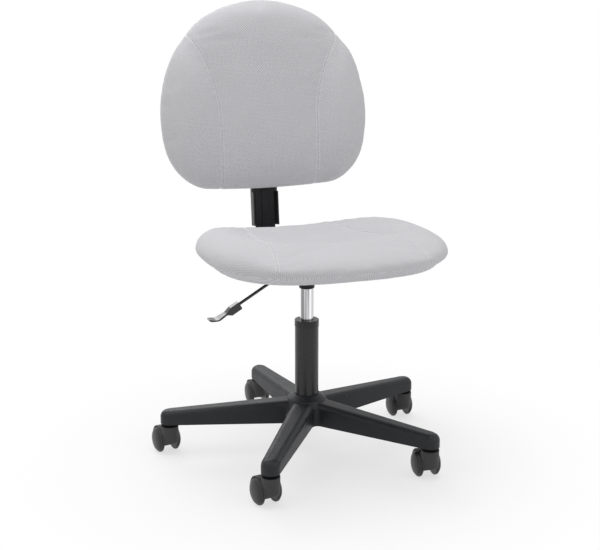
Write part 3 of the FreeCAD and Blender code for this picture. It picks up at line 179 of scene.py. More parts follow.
bpy.ops.object.select_all(action="DESELECT")
bpy.ops.mesh.primitive_circle_add(vertices=96, radius=FLOOR_RADIUS, fill_type="NGON", location=(0, 0, 0))
floor = bpy.context.object
floor.name = "studio_floor"
paper = bpy.data.materials.new("floor_paper")
paper.use_nodes = True
tree = paper.node_tree
tree.nodes.clear()
spot = add_node(tree, "ShaderNodeTexCoord").outputs["Object"]
away = add_node(tree, "ShaderNodeVectorMath", operation="LENGTH", sockets={0: spot}).outputs["Value"]
fade = between(tree, away, GLOW_NEAR, 1.0, GLOW_FROM, GLOW_FULL, interpolation_type="SMOOTHSTEP")
share = calc(tree, "MULTIPLY", fade, seen_directly(tree))
matt = add_node(tree, "ShaderNodeBsdfDiffuse", sockets={"Color": PAPER_WHITE})
glow = add_node(tree, "ShaderNodeEmission", sockets={"Color": WHITE, "Strength": 1.0})
floor_mix = add_node(tree, "ShaderNodeMixShader", sockets={0: share, 1: matt.outputs[0], 2: glow.outputs[0]})
add_node(tree, "ShaderNodeOutputMaterial", sockets={"Surface": floor_mix.outputs[0]})
floor.data.materials.append(paper)
floor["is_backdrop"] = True
print("floor: radius", FLOOR_RADIUS)

# %% [markdown]
# ## Lamps
# Four softboxes model the chair: a wide one overhead, a small one on either hand, and a low one behind,
# which draws the bright line along the top of the back and the arms and shines on the lever's blade.
# Bare lamps would throw hard shadows, and one lamp alone would leave the black pieces without any highlight.

# %% Lamps
LAMPS = {
    # name: place, aimed at, width, height, watts
    "left_softbox": ((-1.90, -0.20, 2.40), (0, 0.20, 0.75), 1.2, 1.2, 6.0),
    "right_softbox": ((1.70, -1.90, 1.80), (0, -0.05, 0.50), 1.3, 1.3, 10.0),
    "overhead_softbox": ((-0.30, 0.10, 3.00), (0, 0, 0.40), 2.2, 2.2, 34.0),
    "rear_softbox": ((-0.30, 2.00, 1.42), (0, 0, 0.55), 1.5, 0.6, 13.0),
}

for name, (place, target, width, height, watts) in LAMPS.items():
    lamp = bpy.data.lights.new(name, "AREA")
    lamp.shape = "RECTANGLE"
    lamp.size = width
    lamp.size_y = height
    lamp.energy = watts
    holder = bpy.data.objects.new(name, lamp)
    holder.location = place
    holder.rotation_euler = (Vector(target) - Vector(place)).to_track_quat("-Z", "Y").to_euler()
    scene.collection.objects.link(holder)
    print(f"{name}: {watts} W at {place}")

# %% [markdown]
# ## Patterns that several finishes share
# Moulded plastic has a fine pebbled skin from its mould, and every surface has faint cloudy unevenness.
# Each could be built anew inside each material, but a node group is made once and placed with its own values.

# %% Node groups
def node_group(name, inputs, outputs):
    """A shader group with its named sockets, and its entry and exit."""
    group = bpy.data.node_groups.new(name, "ShaderNodeTree")
    group.interface.new_socket("Vector", in_out="INPUT", socket_type="NodeSocketVector")
    for label, value in inputs.items():
        socket = group.interface.new_socket(label, in_out="INPUT", socket_type="NodeSocketFloat")
        socket.default_value = value
    for label in outputs:
        group.interface.new_socket(label, in_out="OUTPUT", socket_type="NodeSocketFloat")
    return group, add_node(group, "NodeGroupInput"), add_node(group, "NodeGroupOutput")


CLOUD_SCALE = 14.0
CLOUD_FROM, CLOUD_TO = 0.3, 0.7
SKIN_SCALE = 900.0

cloudy, entry, leave = node_group("cloudy_tone", {"Scale": CLOUD_SCALE}, ["Tone"])
broad = add_node(cloudy, "ShaderNodeTexNoise", sockets={
    "Vector": entry.outputs["Vector"], "Scale": entry.outputs["Scale"], "Detail": 4.0, "Roughness": 0.6})
cloud_tone = between(cloudy, broad.outputs[0], 0.0, 1.0, CLOUD_FROM, CLOUD_TO)
cloudy.links.new(cloud_tone, leave.inputs["Tone"])

pebble, entry, leave = node_group("moulded_skin", {"Scale": SKIN_SCALE}, ["Height"])
cells = add_node(pebble, "ShaderNodeTexVoronoi", feature="SMOOTH_F1", sockets={
    "Vector": entry.outputs["Vector"], "Scale": entry.outputs["Scale"]})
fine = add_node(pebble, "ShaderNodeTexNoise", sockets={
    "Vector": entry.outputs["Vector"], "Scale": entry.outputs["Scale"], "Detail": 2.0})
pebble.links.new(calc(pebble, "ADD", cells.outputs["Distance"], fine.outputs[0]), leave.inputs["Height"])
print("groups:", cloudy.name, pebble.name)

# %% [markdown]
# ## The knit
# The cover is a thick spacer knit: rows of small round meshes that run diagonally and wander a little.
# A checker would look printed, so two crossed waves make the meshes, a slow noise lets them wander,
# and a very fine noise gives the fuzz of the yarn.

# %% Knit group
KNIT_PITCH = 0.0040
WANDER_SCALE, WANDER_SIZE = 60.0, 0.0012
FUZZ_SCALE, FUZZ_HEIGHT = 2600.0, 0.25
GAP_BELOW, YARN_ABOVE = 0.12, 0.5


def wave(tree, coordinate, pitch):
    """A cosine along one coordinate, one crest to a pitch."""
    turns = calc(tree, "DIVIDE", coordinate, pitch)
    return calc(tree, "COSINE", calc(tree, "MULTIPLY", turns, 2 * math.pi))


knit, entry, leave = node_group("spacer_knit", {"Pitch": KNIT_PITCH}, ["Height", "Mesh"])
wander = add_node(knit, "ShaderNodeTexNoise", sockets={
    "Vector": entry.outputs["Vector"], "Scale": WANDER_SCALE, "Detail": 1.0})
shift = add_node(knit, "ShaderNodeVectorMath", operation="SCALE", sockets={
    0: wander.outputs["Color"], "Scale": WANDER_SIZE})
moved = add_node(knit, "ShaderNodeVectorMath", operation="ADD", sockets={
    0: entry.outputs["Vector"], 1: shift.outputs[0]})
turned = add_node(knit, "ShaderNodeVectorRotate", rotation_type="Z_AXIS", sockets={
    "Vector": moved.outputs[0], "Angle": math.radians(45)})
axes = add_node(knit, "ShaderNodeSeparateXYZ", sockets={0: turned.outputs[0]})
crossed = calc(knit, "ADD", wave(knit, axes.outputs["X"], entry.outputs["Pitch"]),
               wave(knit, axes.outputs["Y"], entry.outputs["Pitch"]))
loops = between(knit, crossed, 0.0, 1.0, -2.0, 2.0)
yarn = add_node(knit, "ShaderNodeTexNoise", sockets={
    "Vector": turned.outputs[0], "Scale": FUZZ_SCALE, "Detail": 1.0})
fuzz = calc(knit, "MULTIPLY", yarn.outputs[0], FUZZ_HEIGHT)
knit.links.new(calc(knit, "ADD", loops, fuzz), leave.inputs["Height"])
yarn_mask = between(knit, loops, 0.0, 1.0, GAP_BELOW, YARN_ABOVE, interpolation_type="SMOOTHSTEP")
knit.links.new(yarn_mask, leave.inputs["Mesh"])
print("group:", knit.name)

# %% [markdown]
# ## Hard finishes
# The base is blue-black plastic, the casters are a matt charcoal,
# and the column and the bar are black paint on steel.
# One black for all of them would look like a silhouette,
# so they differ in tone, gloss and skin, as on the chair.
# A soft-edge normal rounds the sharp edges of the solids by less than a millimetre, which catches the light.

# %% Starting a material
EDGE_ROUND = 0.0006


def start_material(name):
    """A material, its tree, its shader and its Object coordinates."""
    material = bpy.data.materials.new(name)
    material.use_nodes = True
    tree = material.node_tree
    shader = tree.nodes["Principled BSDF"]
    return material, tree, shader, add_node(tree, "ShaderNodeTexCoord").outputs["Object"]


def place_group(tree, group, vector, **values):
    """A copy of a shared group in a material."""
    return add_node(tree, "ShaderNodeGroup", node_tree=group, sockets={"Vector": vector, **values}).outputs


def two_tones(tree, factor, dark, light):
    """A colour between two tones."""
    mix = add_node(tree, "ShaderNodeMix", data_type="RGBA", sockets={"Factor": factor})
    for socket, tone in ((6, dark), (7, light)):
        mix.inputs[socket].default_value = (*tone, 1)
    return mix.outputs[2]


def finish_of(name, dark, light, gloss, skin, skin_scale, metal, shine):
    """A hard finish: cloudy colour between two tones, uneven gloss, and the skin of its mould or paint."""
    material, tree, shader, place = start_material(name)
    tone = place_group(tree, cloudy, place, Scale=CLOUD_SCALE)["Tone"]
    tree.links.new(two_tones(tree, tone, dark, light), shader.inputs["Base Color"])
    tree.links.new(between(tree, tone, *gloss), shader.inputs["Roughness"])
    shader.inputs["Metallic"].default_value = metal
    shader.inputs["Specular IOR Level"].default_value = shine
    rounded = add_node(tree, "ShaderNodeBevel", samples=4, sockets={"Radius": EDGE_ROUND})
    height = place_group(tree, pebble, place, Scale=skin_scale)["Height"]
    bump = add_node(tree, "ShaderNodeBump", sockets={
        "Strength": 1.0, "Distance": skin, "Height": height, "Normal": rounded.outputs[0]})
    tree.links.new(bump.outputs[0], shader.inputs["Normal"])
    return material


print("helpers for materials")

# %% [markdown]
# ## Tones of the hard pieces
# Each row gives a dark and a light tone, the roughness from and to, the height of the skin and its scale,
# whether it is metal, and how strongly it shines. Moulded plastic with a matt skin shines weakly.

# %% Hard finishes
HARD_FINISHES = {
    # name: dark tone, light tone, roughness from and to, skin height in metres, skin scale, metal, shine
    "moulded_black": ((0.019, 0.020, 0.023), (0.027, 0.028, 0.032), (0.40, 0.52), 5e-5, 900.0, 0.0, 0.23),
    "caster_charcoal": ((0.044, 0.044, 0.045), (0.056, 0.056, 0.057), (0.46, 0.60), 5e-5, 900.0, 0.0, 0.25),
    "wheel_black": ((0.020, 0.020, 0.021), (0.030, 0.030, 0.031), (0.30, 0.42), 3e-5, 900.0, 0.0, 0.35),
    # The collars' near-black tone is partly their own black and partly painted shade under the arms.
    "collar_black_and_shade": ((0.0015, 0.0015, 0.0016), (0.003, 0.003, 0.003), (0.50, 0.65), 3e-5, 900.0, 0.0, 0.06),
    "trim_black": ((0.008, 0.008, 0.010), (0.013, 0.013, 0.015), (0.28, 0.40), 3e-5, 900.0, 0.0, 0.40),
    "column_black": ((0.015, 0.015, 0.016), (0.022, 0.022, 0.023), (0.22, 0.32), 1e-6, 900.0, 0.0, 0.40),
    "frame_black": ((0.006, 0.006, 0.008), (0.011, 0.011, 0.013), (0.22, 0.32), 2e-5, 400.0, 0.0, 0.22),
    "lever_black": ((0.010, 0.010, 0.011), (0.016, 0.016, 0.017), (0.16, 0.24), 2e-5, 900.0, 0.0, 0.60),
    "steel": ((0.38, 0.38, 0.39), (0.52, 0.52, 0.53), (0.26, 0.42), 2e-5, 700.0, 1.0, 0.5),
    "bushing_plastic": ((0.55, 0.54, 0.50), (0.63, 0.62, 0.58), (0.40, 0.52), 3e-5, 900.0, 0.0, 0.5),
    "valve_brass": ((0.55, 0.38, 0.14), (0.66, 0.47, 0.19), (0.24, 0.36), 2e-5, 600.0, 1.0, 0.5),
    "bump_rubber": ((0.012, 0.012, 0.012), (0.022, 0.022, 0.022), (0.70, 0.85), 8e-5, 900.0, 0.0, 0.3),
}

finishes = {name: finish_of(name, *values) for name, values in HARD_FINISHES.items()}
print(len(finishes), "hard finishes")

# %% [markdown]
# ## Chrome
# The gas cylinder is drawn tube, ground lengthwise and chromed, so its gloss carries fine upright streaks.
# A perfect mirror would be plain white in a white room.
# Noise that is stretched along the tube paints dark upright streaks into the chrome's colour, a painted
# reflection of dark things round it, and they stay on the tube when the seat turns.

# %% Chrome
STREAK_SCALE = (1.0, 1.0, 0.012)
STREAKS_PER_METRE = 190.0
STREAK_FROM, STREAK_TO = 0.42, 0.62
# The dark tone is a painted reflection; the light tone is the chrome's own colour.
PAINTED_REFLECTION_DARK, CHROME_LIGHT = (0.16, 0.16, 0.17), (0.93, 0.93, 0.94)
DARK_ROUGH, LIGHT_ROUGH = 0.24, 0.10

chrome, tree, shader, place = start_material("chrome")
drawn_out = add_node(tree, "ShaderNodeMapping", sockets={"Vector": place, "Scale": STREAK_SCALE})
streak = add_node(tree, "ShaderNodeTexNoise", sockets={
    "Vector": drawn_out.outputs[0], "Scale": STREAKS_PER_METRE, "Detail": 2.0, "Roughness": 0.45})
bright = between(tree, streak.outputs[0], 0.0, 1.0, STREAK_FROM, STREAK_TO)
# Painted reflection: the streaks darken the chrome's colour, and they also vary its roughness.
tree.links.new(two_tones(tree, bright, PAINTED_REFLECTION_DARK, CHROME_LIGHT), shader.inputs["Base Color"])
tree.links.new(between(tree, bright, DARK_ROUGH, LIGHT_ROUGH), shader.inputs["Roughness"])
shader.inputs["Metallic"].default_value = 1.0
finishes["chrome"] = chrome
print("added", chrome.name)

# %% [markdown]
# ## Plywood and felt
# The boards inside the cushions are thin plywood: pale, with long grain.
# The cloth below the seat is a thin black felt that only keeps dust in, so it is plain and fibrous.

# %% Plywood and felt
PLY_DARK, PLY_LIGHT = (0.42, 0.29, 0.16), (0.58, 0.43, 0.26)
GRAIN_STRETCH, PORE_DEPTH = (1.0, 9.0, 9.0), 0.0002
FELT_DARK, FELT_LIGHT = (0.010, 0.010, 0.011), (0.030, 0.030, 0.032)
FIBRE_SCALE, NAP_HEIGHT = 900.0, 0.0002

ply, tree, shader, place = start_material("plywood")
along = add_node(tree, "ShaderNodeMapping", sockets={"Vector": place, "Scale": GRAIN_STRETCH})
grain = add_node(tree, "ShaderNodeTexWave", bands_direction="Y", sockets={
    "Vector": along.outputs[0], "Scale": 3.0, "Distortion": 6.0, "Detail": 3.0})
tree.links.new(two_tones(tree, grain.outputs["Fac"], PLY_DARK, PLY_LIGHT), shader.inputs["Base Color"])
pores = add_node(tree, "ShaderNodeBump", sockets={
    "Strength": 0.6, "Distance": PORE_DEPTH, "Height": grain.outputs["Fac"]})
tree.links.new(pores.outputs[0], shader.inputs["Normal"])
shader.inputs["Roughness"].default_value = 0.75

felt, tree, shader, place = start_material("dust_cloth")
fibres = add_node(tree, "ShaderNodeTexNoise", sockets={
    "Vector": place, "Scale": FIBRE_SCALE, "Detail": 5.0, "Distortion": 1.5})
tree.links.new(two_tones(tree, fibres.outputs[0], FELT_DARK, FELT_LIGHT), shader.inputs["Base Color"])
nap = add_node(tree, "ShaderNodeBump", sockets={
    "Strength": 0.8, "Distance": NAP_HEIGHT, "Height": fibres.outputs[0]})
tree.links.new(nap.outputs[0], shader.inputs["Normal"])
shader.inputs["Roughness"].default_value = 0.95
finishes.update(plywood=ply, dust_cloth=felt)
print("added", ply.name, felt.name)

# %% [markdown]
# ## Fabric
# The cover is a light grey knit with a touch of violet; the gaps between its yarns are painted a little
# darker, as painted shade in their depth.
# A flat grey with a bump would lose the depth of the gaps, so the same pattern sets colour, height and gloss.
# It reads the cover's own map, which runs over the rims as the cloth does, and a painted attribute
# darkens the sewn channels a little, where shade gathers.

# %% Fabric
FABRIC_GAP_SHADE = (0.472, 0.464, 0.486)
FABRIC_YARN = (0.652, 0.643, 0.666)
CHANNEL_SHADE = 0.97
WORN_SHADE, WORN_SCALE = 0.965, 9.0
KNIT_RELIEF = 0.0005
GAP_ROUGH, YARN_ROUGH = 0.95, 0.78

fabric, tree, shader, place = start_material("grey_fabric")
weave_map = add_node(tree, "ShaderNodeUVMap", uv_map="weave").outputs[0]
meshes = place_group(tree, knit, weave_map, Pitch=KNIT_PITCH)
worn = place_group(tree, cloudy, place, Scale=WORN_SCALE)["Tone"]
# Painted shade: the gaps between the yarns are coloured darker than the yarn.
cloth_tone = two_tones(tree, meshes["Mesh"], FABRIC_GAP_SHADE, FABRIC_YARN)
# Painted shade in the sewn channels, read from the cover's attribute.
channel = add_node(tree, "ShaderNodeAttribute", attribute_name="channel").outputs["Fac"]
dim = calc(tree, "MULTIPLY", between(tree, worn, WORN_SHADE, 1.0), between(tree, channel, 1.0, CHANNEL_SHADE))
tinted = add_node(tree, "ShaderNodeVectorMath", operation="SCALE", sockets={0: cloth_tone, "Scale": dim})
tree.links.new(tinted.outputs[0], shader.inputs["Base Color"])
relief = add_node(tree, "ShaderNodeBump", sockets={
    "Strength": 0.6, "Distance": KNIT_RELIEF, "Height": meshes["Height"]})
tree.links.new(relief.outputs[0], shader.inputs["Normal"])
tree.links.new(between(tree, meshes["Mesh"], GAP_ROUGH, YARN_ROUGH), shader.inputs["Roughness"])
shader.inputs["Sheen Weight"].default_value = 0.12
shader.inputs["Sheen Roughness"].default_value = 0.45
shader.inputs["Specular IOR Level"].default_value = 0.25
finishes["grey_fabric"] = fabric
print("added", fabric.name)

# %% [markdown]
# ## Thread
# The seams are top-stitched with a twisted thread a shade lighter than the cloth.
# It could share the fabric's finish, but it would vanish on it,
# so it has its own tone and a twist in its bump.

# %% Thread
THREAD_DARK, THREAD_LIGHT = (0.80, 0.80, 0.82), (0.90, 0.90, 0.92)
TWIST_SCALE, TWIST_HEIGHT = 2400.0, 0.0001

thread, tree, shader, place = start_material("seam_thread")
twist = add_node(tree, "ShaderNodeTexNoise", sockets={
    "Vector": place, "Scale": TWIST_SCALE, "Detail": 2.0})
tree.links.new(two_tones(tree, twist.outputs[0], THREAD_DARK, THREAD_LIGHT), shader.inputs["Base Color"])
strands = add_node(tree, "ShaderNodeBump", sockets={
    "Strength": 0.5, "Distance": TWIST_HEIGHT, "Height": twist.outputs[0]})
tree.links.new(strands.outputs[0], shader.inputs["Normal"])
shader.inputs["Roughness"].default_value = 0.7
print("added", thread.name)

# %% [markdown]
# ## Dressing the solids
# The record names a finish for every solid. A few pieces are finer than that list:
# the caster bodies are paler than the base, the collars under the arms are almost without light, their own
# black with painted shade from the arms above, and the lever's handle is glossier than the other plastic.

# %% Put the finishes on the solids
FINER = {"stem_collars": "collar_black_and_shade", "lever_handle": "lever_black"}
FINER.update({f"caster_{k}_body": "caster_charcoal" for k in range(1, 6)})

for row in frame["record"]["subparts"]:
    solid = frame["nodes"][row["node"]]
    solid.data.materials.clear()
    solid.data.materials.append(finishes[FINER.get(row["node"], row["material_slot"])])

# %% [markdown]
# ## Upholstery
# A real cushion is moulded foam under a sewn cover, pulled tight at the seams and swelling between them.
# It could be sculpted by hand, but a cloth simulation gives that swell by itself:
# the cover is held at its seams and underneath, and light pressure pushes the rest out.
# How far it may go is limited, because foam is firm.

# %% Helpers for meshes
WELD = 0.00002


def only(piece):
    """Makes a piece the one selected and active object."""
    bpy.ops.object.select_all(action="DESELECT")
    piece.select_set(True)
    bpy.context.view_layer.objects.active = piece


def apply_modifier(piece, kind, **settings):
    """Adds a modifier and applies it to the mesh."""
    only(piece)
    modifier = piece.modifiers.new(kind.lower(), kind)
    for key, value in settings.items():
        setattr(modifier, key, value)
    bpy.ops.object.modifier_apply(modifier=modifier.name)


def rows_from(collection, key):
    """One vector of each item of a mesh, as rows of numbers."""
    flat = np.empty(3 * len(collection))
    collection.foreach_get(key, flat)
    return flat.reshape(-1, 3)


def points_of(piece):
    """All vertices of a mesh."""
    return rows_from(piece.data.vertices, "co")


def normals_of(piece):
    """The vertex normals of a mesh."""
    return rows_from(piece.data.vertex_normals, "vector")


def move_points(piece, rows):
    """Puts a mesh's vertices at new places."""
    piece.data.vertices.foreach_set("co", rows.ravel())
    piece.data.update()


def copy_of_solid(node, name):
    """A solid's mesh as a new piece, its loose triangles joined."""
    piece = bpy.data.objects.new(name, frame["nodes"][node].data.copy())
    scene.collection.objects.link(piece)
    only(piece)
    bpy.ops.object.mode_set(mode="EDIT")
    bpy.ops.mesh.select_all(action="SELECT")
    bpy.ops.mesh.remove_doubles(threshold=WELD)
    bpy.ops.object.mode_set(mode="OBJECT")
    return piece


print("helpers for meshes")

# %% [markdown]
# ## Where the seams run
# Both cushions are sewn from three panels, so each has two seams, mirrored about the middle.
# A seam could be traced point by point, but a tailor draws it as a straight run and one even bow.
# That is done here: three points fix each line, flat on the panel.

# %% Seam lines
BOW_STEPS, RUN_STEPS = 32, 24


def bowed_line(bowed_end, turn, straight_end):
    """Points of a flat line: an even bow from one end to the turn, and straight on to the other end."""
    bowed_end, turn, straight_end = Vector(bowed_end), Vector(turn), Vector(straight_end)
    corner = turn + (turn - straight_end).normalized() * (bowed_end - turn).length / 2
    bow = []
    for step in range(BOW_STEPS + 1):
        part = step / BOW_STEPS
        bow.append(bowed_end.lerp(corner, part).lerp(corner.lerp(turn, part), part))
    return bow + [turn.lerp(straight_end, step / RUN_STEPS) for step in range(1, RUN_STEPS + 1)]


SEAT_SEAM = bowed_line((0.097, 0.138), (0.143, -0.212), (0.158, -0.298))
BACK_SEAM = bowed_line((0.188, 0.200), (0.112, -0.010), (0.111, -0.163))
for label, line in (("seat", SEAT_SEAM), ("back", BACK_SEAM)):
    print(label, "seam:", 1000 * sum((b - a).length for a, b in zip(line, line[1:])), "mm")

# %% [markdown]
# ## Laying a seam on a cushion
# The flat line has to follow a crowned cover and go on over both rims.
# It could be projected straight down, but then it would stop at the rim. So rays look down along the line,
# and at both its ends they fan outwards, like fingers that feel round the edge.

# %% Laying a seam
SEAM_STEP = 0.003
RIM_CUT = 0.034
FAN_DROOP, FAN_STEP = 40, 4
FEELER = 0.25


def trimmed(line, cut):
    """The line without the first and last few centimetres."""
    lengths = [0.0]
    for a, b in zip(line, line[1:]):
        lengths.append(lengths[-1] + (b - a).length)
    return [p for p, s in zip(line, lengths) if cut <= s <= lengths[-1] - cut]


def evenly(points, step=SEAM_STEP):
    """Points at equal steps along a line of points."""
    rows = np.array([tuple(p) for p in points])
    lengths = np.concatenate([[0], np.cumsum(np.linalg.norm(np.diff(rows, axis=0), axis=1))])
    marks = np.arange(0, lengths[-1], step)
    return np.stack([np.interp(marks, lengths, rows[:, k]) for k in range(3)], axis=1)


def fan(end, inner, level):
    """Rays from the end of a line, from below the rim up to nearly straight above."""
    away = (end - inner).normalized()
    for angle in range(-FAN_DROOP, 90, FAN_STEP):
        tilt = math.radians(angle)
        yield Vector((*end, level)), Vector((*(away * math.cos(tilt)), math.sin(tilt)))


def laid_seam(piece, placing, line, level, side):
    """Evenly spaced points on the cushion along a flat line, over both rims; side mirrors it."""
    flat = [Vector((side * p.x, p.y)) for p in trimmed(line, RIM_CUT)]
    first, last = list(fan(flat[0], flat[1], level)), list(fan(flat[-1], flat[-2], level))
    straight = [(Vector((*p, level)), Vector((0, 0, 1))) for p in flat]
    hits = []
    for origin, direction in first + straight + last[::-1]:
        begin = placing @ (origin + direction * FEELER)
        found, spot, _, _ = piece.ray_cast(begin, placing.to_3x3() @ -direction, distance=FEELER)
        if found:
            hits.append(spot)
    return evenly(hits)


def distance_to(rows, seams):
    """Distance from each row to the nearest seam point, and how far along its seam that is."""
    spots = np.concatenate(seams)
    along = np.concatenate([np.arange(len(s)) * SEAM_STEP for s in seams])
    tree = KDTree(len(spots))
    for index, spot in enumerate(spots):
        tree.insert(spot, index)
    tree.balance()
    found = [tree.find(row) for row in rows]
    return np.array([f[2] for f in found]), along[[f[1] for f in found]]


print("helpers for seams")

# %% [markdown]
# ## Swelling the covers
# The cushion's solid is copied and remeshed into even squares, because cloth bends well only on an even net.
# The points along the seams and underneath are held, and twenty steps of pressure swell the rest.
# A limit that differs over the cushion keeps the moulded hollow of the seat from filling up.

# %% Swell
CLOTH_STEPS = 20
COVER_NET = 0.0055
HELD_BESIDE_SEAM = 0.0045
SMOOTH_ROUNDS = 6
NET_ROUNDS = 10


def even_net(piece, net, rounds):
    """A piece remeshed into even squares, with its sharp edges softened."""
    apply_modifier(piece, "REMESH", mode="VOXEL", voxel_size=net)
    apply_modifier(piece, "SMOOTH", factor=0.5, iterations=rounds)


def swell(piece, held, limit, pressure):
    """Swells a closed cover by cloth pressure; held points stay, and no point goes further than its limit."""
    before = points_of(piece)
    group = piece.vertex_groups.new(name="held")
    group.add([int(i) for i in np.flatnonzero(held)], 1.0, "REPLACE")
    only(piece)
    cover = piece.modifiers.new("cover", "CLOTH")
    cover.settings.quality = 4
    cover.settings.mass = 0.25
    cover.settings.use_pressure = True
    cover.settings.uniform_pressure_force = pressure
    cover.settings.vertex_group_mass = group.name
    cover.settings.effector_weights.gravity = 0.0
    for step in range(1, CLOTH_STEPS + 1):
        scene.frame_set(step)
    bpy.ops.object.modifier_apply(modifier=cover.name)
    scene.frame_set(1)
    piece.vertex_groups.clear()
    move = points_of(piece) - before
    length = np.linalg.norm(move, axis=1)
    move_points(piece, before + move * np.minimum(1.0, limit / np.maximum(length, 1e-9))[:, None])
    apply_modifier(piece, "SMOOTH", factor=0.5, iterations=SMOOTH_ROUNDS)
    print(f"{piece.name}: pushed up to {1000 * length.max():.1f} mm, kept to {1000 * limit.max():.1f} mm")


print("swelling in", CLOTH_STEPS, "steps")

# %% [markdown]
# ## Channels and puckers
# A seam pulls the cover into a narrow channel, deepest where it goes over the rim and notches the outline,
# and the stitches gather the cloth beside it into small uneven puckers.
# The channel could be only a dark line, but light would not fall into it, so the points themselves are moved,
# and a little painted shade is also laid along it as an attribute.

# %% Channels and puckers
FACE_DEPTH, RIM_DEPTH = 0.0012, 0.0016
CHANNEL_REACH = 0.0036
SHADE_REACH = 0.0024
PUCKER_HEIGHT, PUCKER_LENGTH = 0.00022, 0.021
PUCKER_PLACE, PUCKER_REACH = 0.010, 0.008
PUCKER_STRAY, STRAY_RATE = 2.6, 47.0
UNDER_STARTS, UNDER_FADE = -0.75, 0.3


def sew(piece, seams, facing):
    """Presses the seams into the cover, puckers the cloth beside them and paints shade into their channels.

    facing is 1 on the face of the cushion, 0 at its rim and -1 underneath.
    """
    rows, normals = points_of(piece), normals_of(piece)
    gap, along = distance_to(rows, seams)
    upper = np.clip((facing - UNDER_STARTS) / UNDER_FADE, 0, 1)
    depth = FACE_DEPTH + (RIM_DEPTH - FACE_DEPTH) * np.clip(1 - facing, 0, 1)
    near = np.exp(-((gap / CHANNEL_REACH) ** 2)) * upper
    beside = np.exp(-(((gap - PUCKER_PLACE) / PUCKER_REACH) ** 2)) * upper
    stray = PUCKER_STRAY * np.sin(along * STRAY_RATE)
    ripple = np.sin(2 * math.pi * along / PUCKER_LENGTH + stray) * beside
    move_points(piece, rows + normals * (PUCKER_HEIGHT * ripple - depth * near)[:, None])
    # Painted shade along the seam channels, kept as an attribute of the cover.
    painted_shade = piece.data.attributes.new("channel", "FLOAT", "POINT")
    painted_shade.data.foreach_set("value", np.exp(-((gap / SHADE_REACH) ** 2)) * upper)


print("channels", 1000 * FACE_DEPTH, "mm deep")

# %% [markdown]
# ## The weave's map
# Cloth doesn't shrink where it turns down over a rim, so a pattern that is laid flat would smear there.
# Unwrapping would cut the cover into islands with jumps between them.
# Here the flat place is kept in the middle,
# and near the rim it is pushed outwards by how far the cover has gone down.

# %% Map for the weave
RIM_STARTS = 0.6


def map_weave(piece, flat, drop, reach):
    """A map for the weave, from places about the cushion's middle and its half width and length."""
    share = np.linalg.norm(flat / np.array(reach), axis=1)
    outward = flat / np.maximum(np.linalg.norm(flat, axis=1), 0.001)[:, None]
    push = np.maximum(drop, 0) * np.clip((share - RIM_STARTS) / (1 - RIM_STARTS), 0, 1)
    places = flat + outward * push[:, None]
    corners = np.empty(len(piece.data.loops), dtype=np.int32)
    piece.data.loops.foreach_get("vertex_index", corners)
    layer = piece.data.uv_layers.new(name="weave")
    layer.data.foreach_set("uv", places[corners].ravel())


print("weave map starts to turn at", RIM_STARTS, "of the way out")

# %% [markdown]
# ## Seat cushion
# The seat is a thick dished pad: raised sides, a hollow where one sits, and a front that rolls down.
# It rests on a board that is let into its underside.
# Its lower lip hides the board's edge, so the lip is held down.
# The middle may rise only a little, so the hollow stays; the sides and the front roll may swell more.

# %% Seat cushion
FLAT = Matrix.Identity(4)
SEAT_LEVEL = 0.462
SEAT_SWELL, DISH_SWELL = 0.0045, 0.0015
LIP_HEIGHT, LIP_FACING = 0.007, -0.3
BOARD_MARGIN, BOARD_CLEAR, RECESS_FACING = 1.05, 0.004, 0.2

seat = copy_of_solid("seat_cushion", "seat_cover")
even_net(seat, COVER_NET, NET_ROUNDS)
board_low, board_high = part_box("seat_board")
board_middle, board_reach = (board_low + board_high) / 2, (board_high - board_low) / 2
rows, normals = points_of(seat), normals_of(seat)
from_middle = np.hypot(rows[:, 0] / board_reach.x, (rows[:, 1] - board_middle.y) / board_reach.y)
inside = from_middle < BOARD_MARGIN
under_board = inside & (rows[:, 2] < board_high.z + BOARD_CLEAR) & (normals[:, 2] < RECESS_FACING)
lip = ~inside & (rows[:, 2] < board_low.z + LIP_HEIGHT) & (normals[:, 2] < LIP_FACING)
rows[lip, 2] = board_low.z
move_points(seat, rows)
seat_seams = [laid_seam(seat, FLAT, SEAT_SEAM, SEAT_LEVEL, side) for side in (1, -1)]
print("seat net:", len(rows), "points, lip", int(lip.sum()))

# %% [markdown]
# ## Swelling and sewing the seat
# The order matters: first the swell, then one subdivision, and only then the channels,
# because a remesh or a swell would smooth anything as narrow as a seam away.

# %% Swell and sew the seat
HOLLOW_HALF_WIDTH, HOLLOW_EDGE = 0.155, 0.05
HOLLOW_FRONT, HOLLOW_FADE = -0.20, 0.06
SEAT_PRESSURE = 4.0
UNDERSIDE_FACING = -0.55

gap, _ = distance_to(rows, seat_seams)
held = lip | under_board | (normals[:, 2] < UNDERSIDE_FACING) | (gap < HELD_BESIDE_SEAM)
hollow = np.clip((HOLLOW_HALF_WIDTH - np.abs(rows[:, 0])) / HOLLOW_EDGE, 0, 1)
hollow *= np.clip((rows[:, 1] - HOLLOW_FRONT) / HOLLOW_FADE, 0, 1)
swell(seat, held, SEAT_SWELL - (SEAT_SWELL - DISH_SWELL) * hollow, SEAT_PRESSURE)
apply_modifier(seat, "SUBSURF", levels=1, render_levels=1)
seat_seams = [laid_seam(seat, FLAT, SEAT_SEAM, SEAT_LEVEL, side) for side in (1, -1)]
sew(seat, seat_seams, normals_of(seat)[:, 2])
rows = points_of(seat)
seat_low, seat_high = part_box("seat_cushion")
seat_middle, seat_reach = (seat_low + seat_high) / 2, (seat_high - seat_low) / 2
map_weave(seat, rows[:, :2] - np.array(seat_middle)[:2], seat_high.z - rows[:, 2], seat_reach[:2])
print(f"seat cover: {len(seat.data.polygons)} faces, {sum(map(len, seat_seams)) * SEAM_STEP:.2f} m of seams")

